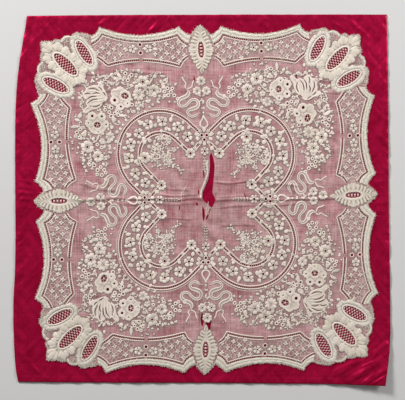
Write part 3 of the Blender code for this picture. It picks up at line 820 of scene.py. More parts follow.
def plain_weave() -> bpy.types.NodeTree:
    """A plain weave with uneven threads, both ways.

    Slubs are noise stretched along the warp and along the weft. Threads are the product of a sine each way.
    Missing is a finer stretched noise where single threads have worn thin.
    """
    found = bpy.data.node_groups.get("plain_weave")
    if found:
        return found
    inputs = {"Threads per mm": 2.0, "Slub scale": 1.0}
    sheet, given, out = new_group("plain_weave", inputs, ["Threads", "Slubs", "Missing"])
    place = sheet.place()
    parts = sheet.add("ShaderNodeSeparateXYZ", {0: place})
    sines = []
    for axis in (0, 1):
        turns = sheet.maths("MULTIPLY", parts.outputs[axis], given.outputs["Threads per mm"])
        sines.append(sheet.maths("SINE", sheet.maths("MULTIPLY", turns, 2000 * math.pi)))
    threads = sheet.range(sheet.maths("MULTIPLY", sines[0], sines[1]), -1, 1, 0, 1)
    sheet.tree.links.new(threads, out.inputs["Threads"])
    slub_scale = given.outputs["Slub scale"]
    layers = (("Slubs", 40, 620, slub_scale, 2.0), ("Missing", 30, 1500, 1.0, 1.0))
    for label, low, high, scale, detail in layers:
        both = [sheet.stretched(place, stretch) for stretch in ((low, high, 1), (high, low, 1))]
        total = sheet.maths("ADD", *(sheet.noise(vector, scale, detail) for vector in both))
        sheet.tree.links.new(sheet.maths("MULTIPLY", total, 0.5), out.inputs[label])
    return sheet.tree


def start_material(name: str, **constants: float) -> tuple[bpy.types.Material, NodeSheet, bpy.types.Node]:
    """A material with its Principled shader, whose constant sockets are set by name."""
    material = bpy.data.materials.new(name)
    material.use_nodes = True
    shader = material.node_tree.nodes["Principled BSDF"]
    for socket, value in constants.items():
        shader.inputs[socket.replace("_", " ")].default_value = value
    return material, NodeSheet(material.node_tree), shader


@dataclass(frozen=True)
class Floss:
    """Cotton thread: satin stitch, cords and net."""

    name: str
    colour: tuple = (0.885, 0.775, 0.685, 1)
    # hollow is the painted shade colour that a low tone mixes in: at the feet, skirts, grooves and slits of
    # the work.
    hollow: tuple = (0.14, 0.06, 0.055, 1)
    aged: tuple = (0.66, 0.59, 0.48, 1)
    per_mm: float = 2.4
    slant: float = 0.0
    depth: float = 0.10

    def material(self) -> bpy.types.Material:
        """The thread's material: painted shade where the tone is low (feet, skirts, grooves and slits), aged
        clouds, and stitch lines in colour and bump.
        """
        found = bpy.data.materials.get(self.name)
        if found:
            return found
        material, sheet, shader = start_material(
            self.name, Roughness=0.72, Sheen_Weight=0.25, Sheen_Roughness=0.5, Specular_IOR_Level=0.25
        )
        lines = sheet.group(stitch_lines(), {"Threads per mm": self.per_mm, "Slant": self.slant})
        clouds_and_spots = sheet.group(wear_and_sheen())
        uneven = sheet.maths("MULTIPLY_ADD", lines.outputs["Line"], 0.22, 0.84)
        tone = sheet.maths("MULTIPLY", sheet.mask("tone"), uneven)
        thread = sheet.mixed(sheet.maths("MULTIPLY", clouds_and_spots.outputs["Clouds"], 0.6), self.colour, self.aged)
        # Painted shade: a low tone mixes in the hollow colour.
        colour = sheet.mixed(sheet.range(tone, 0.05, 0.85, 0, 1), self.hollow, thread)
        fuzz = sheet.maths("MULTIPLY_ADD", lines.outputs["Fuzz"], 0.5, lines.outputs["Line"])
        sheet.surface(shader, colour, fuzz, 0.5, self.depth)
        return material


@dataclass(frozen=True)
class SheerLawn:
    """Sheer cotton lawn that the silk shows through."""

    name: str = "sheer_lawn"
    colour: tuple = (0.90, 0.59, 0.60, 1)
    worked: tuple = (0.56, 0.43, 0.395, 1)
    # The colour that the soil and the painted crease shade mix in.
    soiled_and_shaded: tuple = (0.44, 0.33, 0.31, 1)
    cover: float = 0.385
    threads_per_mm: float = 1.1
    spot_scale: float = 110.0
    depth: float = 0.4

    def material(self) -> bpy.types.Material:
        """The lawn's material: woven cover as alpha, slubs, worn threads, soil, and painted shade under the
        creases and below the middle.
        """
        material, sheet, shader = start_material(self.name, Roughness=0.85, Specular_IOR_Level=0.15)
        weave = sheet.group(plain_weave(), {"Threads per mm": self.threads_per_mm})
        clouds_and_spots = sheet.group(wear_and_sheen(), {"Spot": self.spot_scale})
        dense, place = sheet.mask("dense"), sheet.place()
        slubs = sheet.range(weave.outputs["Slubs"], 0.36, 0.64, -0.10, 0.11)
        worn = sheet.range(weave.outputs["Missing"], 0.36, 0.64, -0.12, 0.12)
        threads = sheet.range(weave.outputs["Threads"], 0, 1, -0.06, 0.06)
        cover = sheet.maths("ADD", sheet.maths("ADD", slubs, worn), sheet.maths("ADD", threads, self.cover))
        cover = sheet.maths("MULTIPLY_ADD", clouds_and_spots.outputs["Clouds"], 0.14, cover)
        for scale, reach in ((70.0, 0.07), (330.0, 0.05)):
            patches = sheet.range(sheet.noise(place, scale, 3.0), 0.35, 0.65, -reach, reach)
            cover = sheet.maths("ADD", cover, patches)
        cover = sheet.maths("MULTIPLY_ADD", dense, 0.42, cover)
        soil_and_shade = sheet.maths("MULTIPLY", clouds_and_spots.outputs["Spots"], 0.40)
        shade = sheet.range(sheet.noise(sheet.stretched(place, (60, 95, 1)), 1.0, 4.0), 0.40, 0.68, 0, 0.52)
        # Soil from small spots and random blotches, plus painted shade under the creases and below the middle
        # from the cloth's mask.
        soil_and_shade = sheet.maths("ADD", soil_and_shade, sheet.maths("MULTIPLY_ADD", sheet.mask("crease_shade"), 0.5, shade))
        cloth = sheet.mixed(sheet.range(dense, 0, 0.3, 0, 1), self.colour, self.worked)
        colour = sheet.mixed(soil_and_shade, cloth, self.soiled_and_shaded)
        sheet.tree.links.new(sheet.range(cover, 0.08, 0.98, 0.08, 0.98), shader.inputs["Alpha"])
        sheet.surface(shader, colour, weave.outputs["Slubs"], 0.35, self.depth)
        return material


@dataclass(frozen=True)
class CrimsonSilk:
    """Crimson silk with a soft sheen, partly painted into its colour."""

    name: str = "crimson_silk"
    # colour is the shaded crimson and lit the crimson of the painted sheen; streaks, clouds and slubs mix
    # between them.
    colour: tuple = (0.27, 0.0015, 0.023, 1)
    lit: tuple = (0.47, 0.0060, 0.056, 1)
    roughness: float = 0.40
    threads_per_mm: float = 2.5
    cloud_scale: float = 9.0
    depth: float = 0.9
    streak_turns: tuple = (0.85, -0.9)
    streak_scale: tuple = (0.045, 0.0062, 1)

    def material(self) -> bpy.types.Material:
        """The silk's material: fine slubs both ways, a painted sheen that mixes the colour towards the lit
        crimson along broken streaks and clouds, and a woven bump.
        """
        material, sheet, shader = start_material(
            self.name, Roughness=self.roughness, Metallic=0.45, Specular_IOR_Level=0.06
        )
        weave = sheet.group(plain_weave(), {"Threads per mm": self.threads_per_mm, "Slub scale": 0.6})
        clouds_and_spots = sheet.group(wear_and_sheen(), {"Cloud": self.cloud_scale})
        place = sheet.place()
        streaks = []
        for turn in self.streak_turns:
            links = {"Vector": place, "Rotation": (0, 0, turn), "Scale": self.streak_scale}
            along = sheet.add("ShaderNodeMapping", links, vector_type="TEXTURE").outputs[0]
            streaks.append(sheet.noise(along, 1.0, 3.0))
        mask = sheet.range(sheet.noise(place, 24.0), 0.46, 0.54, 0, 1)
        turned_over = sheet.maths("SUBTRACT", streaks[1], streaks[0])
        streak = sheet.maths("MULTIPLY_ADD", mask, turned_over, streaks[0])
        slubs = sheet.range(weave.outputs["Slubs"], 0.3, 0.7, -0.2, 0.25)
        sheen = sheet.maths("MULTIPLY_ADD", clouds_and_spots.outputs["Clouds"], 0.25, slubs)
        sheen = sheet.maths("ADD", sheen, sheet.range(streak, 0.34, 0.68, 0.1, 0.75))
        # Painted sheen: the colour goes towards the lit crimson where the streaks and clouds are high.
        colour = sheet.mixed(sheen, self.colour, self.lit)
        streak = sheet.maths("MULTIPLY", streak, 1.6)
        height = sheet.maths("MULTIPLY_ADD", weave.outputs["Slubs"], 0.24, streak)
        sheet.surface(shader, colour, height, 0.5, self.depth)
        return material


SATIN = Floss("satin_floss")
CORDED = Floss("corded_floss", hollow=(0.14, 0.045, 0.05, 1), per_mm=1.6, slant=0.8, depth=0.14)
# The drawn thread's hollow colour is a dark crimson: painted shade in the slots and at the bars' sides.
DRAWN = Floss("drawn_thread", (0.70, 0.38, 0.36, 1), (0.16, 0.003, 0.013, 1), per_mm=1.2, depth=0.08)
LEAFY = Floss("leafy_satin", (0.785, 0.70, 0.60, 1), (0.12, 0.06, 0.05, 1), per_mm=2.2, slant=0.6)
NET = Floss("net_thread", (0.90, 0.71, 0.67, 1), (0.26, 0.012, 0.035, 1), per_mm=1.2, depth=0.08)
FUZZY = Floss(
    "napped_edge", (0.80, 0.74, 0.64, 1), (0.24, 0.17, 0.14, 1), (0.64, 0.60, 0.49, 1), per_mm=1.9, depth=0.2
)


# The silk


@dataclass
class SilkSquare:
    """The hemmed silk square: a grid between its four sides, closed underneath."""

    hem_width: float = 7.0
    hem_thick: float = 1.0
    body_thick: float = 0.75
    border: float = 34.0
    fine_step: float = 1.1
    coarse_step: float = 1.9
    across: float = 445.0
    upright: float = 440.0
    under_step: float = 12.0
    ripple_length: float = 12.0
    ripple_height: float = 0.4
    sides: dict = field(
        default_factory=lambda: {
            "top": ((-209.5, 220.5), (-120, 221.4), (0, 221.9), (110, 222.1), (221.9, 222.1)),
            "right": (
                (219.1, -222.1), (225.4, -174.3), (226.0, -116.7), (224.4, 0), (223.8, 119.7),
                (221.9, 222.1),
            ),
            "bottom": ((-220.3, -218.3), (-122, -219.3), (0, -219.6), (118, -220.6), (219.1, -222.1)),
            "left": (
                (-220.3, -218.3), (-224, -192.3), (-226.0, -132.3), (-223.4, -60), (-222.8, 119.7),
                (-209.5, 220.5),
            ),
        }
    )
    # Puckers that the stitching draws: from, to, half width, height
    puckers: tuple = (
        ((-217, 189), (-190, 216), 5.0, 0.6), ((-213, 180), (-175, 216), 5.0, 0.6),
        ((-222, 165), (-206, 182), 3.5, 1.2), ((-133, 197), (-112, 219), 4.0, 1.9),
        ((-107, 213), (-97, 221), 3.0, 1.2), ((-64, 199), (-48, 218), 3.5, 1.8),
        ((-53, 195), (-36, 211), 3.5, 1.6), ((-28, 204), (-19, 220), 3.0, 1.3),
        ((28, 213), (46, 200), 3.5, 1.3), ((67, 220), (80, 203), 3.5, 1.2),
        ((154, 216), (180, 197), 4.0, 1.9), ((172, 220), (204, 191), 4.0, 1.6),
        ((190, 180), (219, 150), 4.5, 1.8), ((203, 20), (223, 24), 3.0, 1.3),
        ((203, 8), (223, 7), 3.0, 1.7), ((203, -3), (223, -4), 3.0, 1.5),
        ((203, -13), (223, -16), 3.0, 1.2), ((-222, 26), (-200, 19), 3.0, 1.2),
        ((-222, 17), (-200, 12), 3.0, 1.6), ((-222, 8), (-201, 5), 3.0, 1.8),
        ((-222, -1), (-203, 2), 3.0, 1.4), ((-219, -104), (-204, -121), 4.0, 1.2),
        ((-212, -188), (-193, -210), 4.5, 1.5), ((150, -204), (158, -219), 3.5, 1.2),
        ((150, -213), (206, -180), 6.5, 3.0), ((170, -219), (219, -188), 6.0, 3.2),
        ((192, -221), (224, -200), 5.0, 2.8), ((202, -188), (225, -168), 5.0, 2.6),
        ((30, -201), (30, -218), 3.0, 1.1), ((-96, -205), (-104, -218), 3.5, 1.2),
    )

    # Fine creases in groups: middles from, to, number, length, turn in degrees, height
    creases: tuple = (
        ((-214, 172), (-190, 216), 7, 24, 50, 0.16), ((-200, 192), (-176, 217), 4, 18, 48, 0.2),
        ((-219, 140), (-214, 116), 6, 16, 42, 0.5), ((-132, 202), (-112, 216), 5, 22, 54, 0.5),
        ((-66, 200), (-34, 216), 8, 22, 52, 0.75), ((24, 206), (74, 212), 8, 17, 130, 0.6),
        ((84, 214), (150, 214), 7, 12, 125, 0.35), ((156, 210), (186, 206), 6, 22, 128, 0.6),
        ((192, 190), (216, 146), 8, 28, 122, 0.7), ((212, 130), (214, 96), 5, 14, 130, 0.4),
        ((213, 30), (213, -22), 13, 20, 3, 0.7), ((-212, 36), (-212, -8), 13, 22, -2, 0.75),
        ((-219, 104), (-219, 44), 17, 9, 6, 0.55), ((-218, -26), (-216, -92), 13, 12, 24, 0.5),
        ((221, 118), (221, 34), 20, 8, -4, 0.45), ((222, -28), (222, -150), 26, 8, 4, 0.45),
        ((206, -176), (221, -160), 5, 16, 36, 0.7), ((168, -206), (210, -214), 9, 30, 38, 0.9),
        ((198, -192), (221, -182), 7, 24, 38, 0.8), ((150, -210), (140, -214), 3, 12, 60, 0.5),
        ((-198, -204), (-188, -210), 2, 20, 128, 0.8), ((-200, -142), (-206, -130), 3, 12, 135, 0.5),
        ((-84, -212), (-60, -212), 3, 12, 84, 0.4), ((22, -212), (92, -212), 6, 13, 76, 0.45),
        ((0, 218), (80, 218), 22, 6, 96, 0.35), ((-222, -110), (-222, -190), 12, 7, 10, 0.3),
    )

    def creased(self, points: Points) -> Points:
        """Height of the fine creases: in each group, ridges spread along a line with small random shifts."""
        rng = np.random.default_rng(SEED + 5)
        height = np.zeros(len(points))
        for start, end, number, length, turn, crest in self.creases:
            middles = arc(start, end, 0, max(number, 2)) + rng.normal(0, 1.6, (max(number, 2), 2))
            for middle in middles:
                way = math.radians(turn + rng.normal(0, 6))
                reach = 0.5 * length * rng.uniform(0.6, 1.3) * np.array([math.cos(way), math.sin(way)])
                near = np.abs(points - middle).max(axis=1) < length
                half, tall = rng.uniform(1.5, 2.6), crest * rng.uniform(0.5, 1.2)
                high = ridge(points[near], middle - reach, middle + reach, half, tall, 0.4)
                height[near] = np.maximum(height[near], high)
        return height

    def shares(self, length: float) -> Points:
        """Stations from 0 to 1 along a side: fine in both borders and coarse between them."""
        border = np.arange(0, self.border, self.fine_step)
        middle = np.arange(self.border, length - self.border, self.coarse_step)
        return np.concatenate([border, middle, length - border[::-1]]) / length

    def side(self, name: str, shares: Points) -> Points:
        """Points at the given shares of a side's length."""
        curve = smooth_path(self.sides[name], 2.0)
        along = lengths(curve)
        return np.column_stack([np.interp(shares * along[-1], along, curve[:, k]) for k in range(2)])

    def surface(self) -> tuple[Points, int, int]:
        """The Coons patch between the sides: both ruled surfaces added, less the corners' bilinear one."""
        p, q = self.shares(self.across), self.shares(self.upright)
        top, bottom = self.side("top", p), self.side("bottom", p)
        left, right = self.side("left", q), self.side("right", q)
        a, b = p[None, :, None], q[:, None, None]
        ruled = (1 - b) * bottom[None] + b * top[None] + (1 - a) * left[:, None] + a * right[:, None]
        corners = (1 - a) * (1 - b) * bottom[0] + a * (1 - b) * bottom[-1]
        corners = corners + (1 - a) * b * top[0] + a * b * top[-1]
        return (ruled - corners).reshape(-1, 2), len(q), len(p)

    def build(self, lie: ClothLie, lace_edge: Points) -> bpy.types.Object:
        """Builds the silk.

        Args:
            lie: how the cloths lie.
            lace_edge: the handkerchief's edge in millimetres of the frame; the puckers die away at it.

        Returns:
            The silk's object, which stands for its CAD node.
        """
        flat, rows, columns = self.surface()
        rim = np.concatenate([
            np.arange(columns),
            columns * np.arange(1, rows) + columns - 1,
            columns * (rows - 1) + np.arange(columns - 2, -1, -1),
            columns * np.arange(rows - 2, 0, -1),
        ])
        inward = to_edge(flat, flat[rim])
        outside = np.where(inside(flat, lace_edge), 0, to_edge(flat, lace_edge))
        free = smooth_step(1.5, 8.0, outside)
        puckers = np.maximum.reduce([ridge(flat, *row, 0.25) for row in self.puckers])
        wave = np.sin((flat[:, 0] + flat[:, 1]) * 2 * math.pi / self.ripple_length)
        ripple = self.ripple_height * (0.5 + 0.5 * wave)
        ripple = ripple * (1 - smooth_step(0, 9, inward)) * (0.6 + 0.4 * ripples(flat, 40, 8))
        slack = 0.5 * (1 + ripples(flat, 22, 21)) + 0.14 * (1 + ripples(flat, 9, 22))
        soft = np.maximum(0.45 * puckers, np.maximum(ripple, 0)) + slack * smooth_step(0, 20, outside)
        low = lie.lift(flat) + (soft + self.creased(flat)) * free
        fold = 1 - smooth_step(self.hem_width - 0.8, self.hem_width, inward)
        roll = np.sqrt(np.clip(inward, 0.15, 1))
        high = low + (self.body_thick + (self.hem_thick - self.body_thick) * fold) * roll
        under, below = cut_cloth([flat[rim]], grid_in(flat[rim], self.under_step))
        layers = ((flat, high), (flat[rim], low[rim]), (under, lie.lift(under)))
        points = np.vstack([np.column_stack(layer) for layer in layers])
        count, edge = len(flat), np.arange(len(rim))
        upper = Needlework.grid_faces(rows, columns)
        walls = np.column_stack([rim, edge + count, np.roll(edge, -1) + count, np.roll(rim, -1)])
        beneath = np.column_stack([below, below[:, 2]])[:, [2, 1, 0, 0]] + count + len(rim)
        faces = np.vstack([upper, walls, beneath])
        piece = make_piece("silk_cloth", points, faces, points[:, :2], {})
        dress(piece, CrimsonSilk().material())
        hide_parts("silk_square")
        return piece


# The lawn and the patterns on it


@dataclass
class Lawn:
    """The sheer lawn: one cloth cut to the scalloped edge, with its eyelets, slots, windows and tears."""

    grid_step: float = 2.4
    holes: list = field(default_factory=list)
    thick_spots: list = field(default_factory=list)
    thick_areas: list = field(default_factory=list)
    # Tears, in millimetres of the frame
    tears: dict = field(
        default_factory=lambda: {
            "long tear": (
                (11.4, 56.8), (13.6, 51.2), (15.6, 40.8), (15.0, 30.5), (13.6, 18.0), (13.0, 7.7),
                (16.6, 0.5), (14.5, -5.7), (12.0, -9.8), (7.8, -5.7), (2.6, -1.5), (0.6, 2.6), (1.6, 9.8),
                (4.7, 17.1), (7.8, 24.3), (9.4, 33.5), (9.8, 43.8), (9.4, 52.1),
            ),
            "left sliver": ((1.0, -7.0), (3.6, -12.5), (3.9, -20), (2.2, -26.8), (0.9, -20), (0.4, -12)),
            "right sliver": (
                (10.6, -11.0), (9.6, -16.5), (6.2, -23.6), (4.3, -24.3), (6.6, -18), (8.2, -12.4),
            ),
            "lower sliver": (
                (0.1, -135), (1.8, -137), (2.2, -146), (1.4, -152), (-0.6, -150), (-1.4, -142),
            ),
            "torn spot": ((4.6, -147.5), (11.6, -143.5), (10.4, -155.8), (6.4, -156)),
            "slit one": ((2.2, 39), (3.2, 35), (3.4, 28), (2.6, 25), (1.8, 30), (1.7, 36)),
            "slit two": ((-3.8, 13), (-3.0, 10), (-3.2, 6), (-4.2, 5.5), (-4.6, 9), (-4.4, 12)),
            "slit three": ((-5.6, -2.6), (-4.2, -5.4), (-4.4, -7.4), (-6.6, -6.6), (-7.4, -4.2)),
            "slit four": ((-26.6, -6), (-25.8, -9.5), (-26.2, -12.6), (-27.2, -12.4), (-27.4, -8)),
            "slit five": ((51.2, 10), (52.2, 6), (53.4, 2.6), (52.2, 2.4), (50.8, 5.6)),
            "slit six": ((112.4, 152), (113.8, 150), (114.4, 146), (113.2, 143.4), (112.2, 146)),
            "slit seven": ((-9.4, 149.4), (-8.2, 147), (-8.0, 142), (-9.0, 140.4), (-9.8, 144)),
        }
    )

    def eyes(self, rows: Points) -> None:
        """Cuts round eyelets: (u, v, radius) for each."""
        for u, v, radius in np.asarray(rows, float).reshape(-1, 3):
            self.holes.append(ellipse((u, v), radius, radius, 0, 9))

    def slot(self, path: Points, half_width: float) -> None:
        """Cuts a long slot along a path."""
        side = side_of(path) * half_width
        self.holes.append(np.vstack([path + side, (path - side)[::-1]]))

    def thicken(self, spots: list | Points, radius: float, share: float) -> None:
        """Notes where work on the back makes the cloth denser, round each (u, v) spot."""
        self.thick_spots.append(with_sizes(np.asarray(spots, float)[:, :2], radius, share))

    def thicken_inside(self, loops: list[Points], share: float) -> None:
        """Notes closed loops inside which a worked ground makes the cloth denser."""
        self.thick_areas += [(loop, share) for loop in loops]

    def back_to_pattern(self, lie: ClothLie, spots: Points) -> Points:
        """Pattern squares for points of the frame, by three rounds of taking off the warp's shift there."""
        guess = (spots - np.array(lie.CENTRE)) / SQUARE
        for _ in range(3):
            guess = guess + (spots - lie.place(guess)) / SQUARE
        return guess

    def build(self, lie: ClothLie, edge: Points) -> bpy.types.Object:
        """Cuts the lawn inside the given edge and lays it, and returns its object."""
        loops = [resampled(np.array(tear + tear[:1], float), 1.8)[:-1] for tear in self.tears.values()]
        torn = [self.back_to_pattern(lie, loop) for loop in loops]
        rows = self.back_to_pattern(lie, lie.crease_rows())
        rows = rows[inside(rows, edge) & (to_edge(rows, edge) > 0.8)]
        flat, faces = cut_cloth([edge, *self.holes, *torn], np.vstack([grid_in(edge, self.grid_step), rows]))
        dense = np.zeros(len(flat))
        for u, v, radius, share in np.vstack(self.thick_spots):
            near = np.hypot(flat[:, 0] - u, flat[:, 1] - v)
            dense = np.maximum(dense, share * (1 - smooth_step(0.6 * radius, radius, near)))
        for loop, share in self.thick_areas:
            low, high = loop.min(axis=0), loop.max(axis=0)
            near = np.where(((flat > low) & (flat < high)).all(axis=1))[0]
            near = near[inside(flat[near], loop)]
            dense[near] = np.maximum(dense[near], share * smooth_step(0, 2.5, to_edge(flat[near], loop)))
        place = lie.place(flat)
        points = np.column_stack([place, lie.lawn(place)])
        masks = {"dense": dense, "crease_shade": lie.crease_shade(place)}
        piece = make_piece("lawn_cloth", points, faces, flat * SQUARE, masks)
        dress(piece, SheerLawn().material())
        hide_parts("handkerchief")
        return piece


@dataclass
class ScallopedEdge:
    """The buttonholed edge: eight curved bands, with a napped outer edge, a groove and a cord."""

    step: float = 1.3
    start: tuple = (9.5, 162.5)
    outer: tuple = (
        ("rise to inner point", (20.5, 170.8), -1.2), ("long hollow", (98.6, 171.5), -8.3),
        ("fall from outer point", (107.5, 163.0), -1.6),
    )
    inner_start: tuple = (12.5, 153.5)
    inner: tuple = (
        ("rise to inner point", (22.0, 163.0), -1.5), ("long hollow", (96.2, 165.0), -7.0),
        ("fall from outer point", (108.5, 155.5), -1.3),
    )
    # Across the band: share of the way in, rise, tone; the lower tones at its feet and in the groove are
    # painted shade.
    section: tuple = (
        (-0.02, 0.0, 0.45), (0.05, 0.75, 0.85), (0.2, 1.15, 1.0), (0.36, 1.05, 0.97), (0.45, 0.45, 0.58),
        (0.5, 0.4, 0.55), (0.58, 0.8, 0.92), (0.7, 0.95, 1.0), (0.82, 0.75, 0.92), (0.88, 0.15, 0.55),
    )
    # The rest of an eighth of the edge, past the bands, up to the corner tip
    rest: tuple = (
        ("oval rim", (117.5, 165.8), 0.9), ("oval tip", (128.4, 163.4), 2.2),
        ("scallop", (139.6, 159.6), 2.2), ("corner petal", (149.2, 158.3), 1.6),
        ("corner tip", (159.2, 159.2), 0.7),
    )

    def outline(self) -> Points:
        """The whole scalloped edge, clockwise from the top mid-side tip."""
        medallion = chain((0, 172.7), [("side", self.start, 0.6)], 2.0)
        bands = chain(self.start, self.outer, 2.0)
        corner = chain(self.outer[-1][1], self.rest, 2.0)
        eighth = np.vstack([medallion[:-1], bands[:-1], corner])
        quarter = np.vstack([eighth, eighth[-2:0:-1, ::-1]])
        return np.vstack([turned(quarter, k) for k in range(4)])

    def build(self, work: Needlework, fuzz: Needlework) -> None:
        """Adds the eight bands and the nap that stands out of their edge."""
        rng = np.random.default_rng(SEED)
        ends = [self.start, *(curve[1] for curve in self.outer)]
        inner_ends = [self.inner_start, *(curve[1] for curve in self.inner)]
        for number in range(3):
            count = max(6, round(math.dist(ends[number], ends[number + 1]) / self.step))
            outer = arc(ends[number], ends[number + 1], self.outer[number][2], count)
            inner = arc(inner_ends[number], inner_ends[number + 1], self.inner[number][2], count)
            work.bands_round(outer, inner, self.section, True, ragged=0.8, knobbly=0.4)
        edge = resampled(self.outline(), 0.42)
        side = side_of(edge)
        inward = side * np.where((side * edge).sum(axis=1) > 0, -1, 1)[:, None]
        for reach, share in ((0.9, 1.0), (0.5, 0.8), (1.2, 0.35)):
            fuzz.nap(edge, -inward, reach, share, rng)
        for deep, high in ((1.2, 1.3), (2.0, 1.35), (2.8, 1.3), (4.9, 1.15)):
            keep = rng.random(len(edge)) < 0.5
            count = keep.sum()
            root = edge[keep] + inward[keep] * (deep + rng.uniform(-0.6, 0.6, count))[:, None]
            tip = root + rng.normal(0, 0.9, root.shape)
            rise = rng.uniform(high - 0.35, high, count)
            fuzz.bars(np.column_stack([root, tip, np.full(count, 0.3), rise]))


@dataclass
class Ladder:
    """Drawn-thread lines: a slot in the lawn, a dark strip deep in it that paints the shadow in the slot,
    slanted bars and a cord on each side.
    """

    half_width: float = 0.88
    bar_step: float = 2.0
    bar_width: float = 0.46
    cord_width: float = 1.2
    cord_rise: float = 0.95

    def build(
        self, paths: list[Points], lawn: Lawn, cords: Needlework, bars: Needlework, corded: bool
    ) -> None:
        """Adds ladders.

        Args:
            paths: their middle lines.
            lawn: the cloth that the slots are cut from.
            cords: takes the cords.
            bars: takes the bars.
            corded: whether there is a cord on each side.
        """
        for path in paths:
            path = resampled(path, self.bar_step)
            lawn.slot(path, self.half_width)
            reach = side_of(path) * (self.half_width + 0.25)
            # A dark strip at tone 0 under the slot, in the drawn thread's hollow colour: painted shadow in
            # the slot.
            bars.band(path + reach, path - reach, ((0, -0.35, 0.0), (0.5, -0.6, 0.05), (1, -0.35, 0.0)))
            slant = 0.4 * np.gradient(path, axis=0) / self.bar_step
            ends = np.column_stack([path + reach + slant, path - reach - slant])
            bars.bars(with_sizes(ends, self.bar_width, 0.3))
            away = self.half_width + 0.5 * self.cord_width
            for lean in (away, -away) if corded else ():
                cords.cord(path, self.cord_width, self.cord_rise, lean=lean)


@dataclass
class EdgePanels:
    """The eight curved panels inside the edge: ladders, florets on a lattice, and a middle of two eyelets."""

    inner_start: tuple = (12.5, 142.0)
    inner: tuple = (
        ("to inner corner", (21.5, 132.2), 1.5), ("long arch", (93.4, 134.3), 5.2),
        ("to outer corner", (104.0, 143.0), 0.5),
    )
    middle: float = 59.5
    gap: float = 0.9
    lattice: tuple = (5.75, 4.75)

    def ladders(self, edge: ScallopedEdge) -> list[list[Points]]:
        """The outer and the inner ladder's middle lines, broken at the panel's middle."""
        found = []
        for start, curves in ((edge.inner_start, edge.inner), (self.inner_start, self.inner)):
            long = arc(curves[0][1], curves[1][1], curves[1][2], 81)
            rise = arc(start, curves[0][1], curves[0][2], 9)[:-1]
            fall = arc(curves[1][1], curves[2][1], curves[2][2], 9)[1:]
            first = np.vstack([rise, long[long[:, 0] < self.middle - self.gap]])
            second = np.vstack([long[long[:, 0] > self.middle + self.gap], fall])
            found.append([first, second])
        return found

    def shape(self, edge: ScallopedEdge) -> Points:
        """The panel's own outline, between its ladders."""
        upper = chain(edge.inner_start, edge.inner, 3.0)
        lower = chain(self.inner_start, self.inner, 3.0)
        return np.vstack([upper, lower[::-1]])

    def build(self, edge: ScallopedEdge, lawn: Lawn, work: Needlework, rings: Needlework) -> None:
        """Adds the florets, rings, eyelets and middle flowers of all eight panels."""
        shape, middle = self.shape(edge), self.middle
        wide, high = self.lattice
        i, j = np.meshgrid(np.arange(-9, 10), np.arange(-8, 9))
        u = middle + 2.9 + i * wide
        v = 148.6 + j * high + 0.0018 * (u - middle) ** 2
        spots, odd = np.column_stack([u.ravel(), v.ravel()]), (i + j).ravel() % 2
        clear = inside(spots, shape) & (np.abs(spots[:, 0] - middle) > 11)
        room = to_edge(spots, shape)
        stars = spots[clear & (odd == 0) & (room > 2.2)]
        discs = spots[clear & (odd == 1) & (room > 2.4)]
        rng = np.random.default_rng(SEED + 1)
        rows = []
        for number in range(4):
            angle = 90 * number + rng.normal(8, 6, len(stars))
            length = 3.0 + rng.normal(0, 0.15, len(stars))
            rows.append(with_sizes(np.column_stack([stars, angle, length]), 2.1, 0.95))
        work.petals(rows_round(np.vstack(rows), True), PetalShape.DROP)
        circles = rows_round(with_sizes(discs, 0, 2.2), True)
        rings.rings(with_sizes(circles[:, [0, 1, 3]], 0.4, 0.1), 12)
        lawn.thicken(rows_round(with_sizes(stars, 0), True), 3.4, 0.22)
        eyes = rows_round([(middle, 154.0, 0, 1.45), (middle, 145.8, 0, 1.45)], True)[:, [0, 1, 3]]
        lawn.eyes(eyes)
        rings.rings(with_sizes(eyes, 1.0, 0.5))
        flowers = [(middle + side * 7.6, 149.8, 18 + side * 18, 5, 0.85, 4.5, 3.5, 0.8) for side in (-1, 1)]
        work.flowers(rows_round(flowers, True), lawn)
        leaves = [
            (middle - 12.0, 149.4, 180, 5.4, 3.2, 0.6), (middle + 12.0, 149.8, 0, 5.4, 3.2, 0.6),
            (middle - 1.8, 150.0, 180, 2.6, 1.6, 0.4), (middle + 1.8, 150.0, 0, 2.6, 1.6, 0.4),
        ]
        work.petals(rows_round(leaves, True), PetalShape.LEAF)
        lawn.thicken(rows_round([(middle - 7, 149.6, 0), (middle + 7, 149.8, 0)], True), 8.0, 0.35)
        lawn.thicken_inside(all_round([shape], True), 0.16)


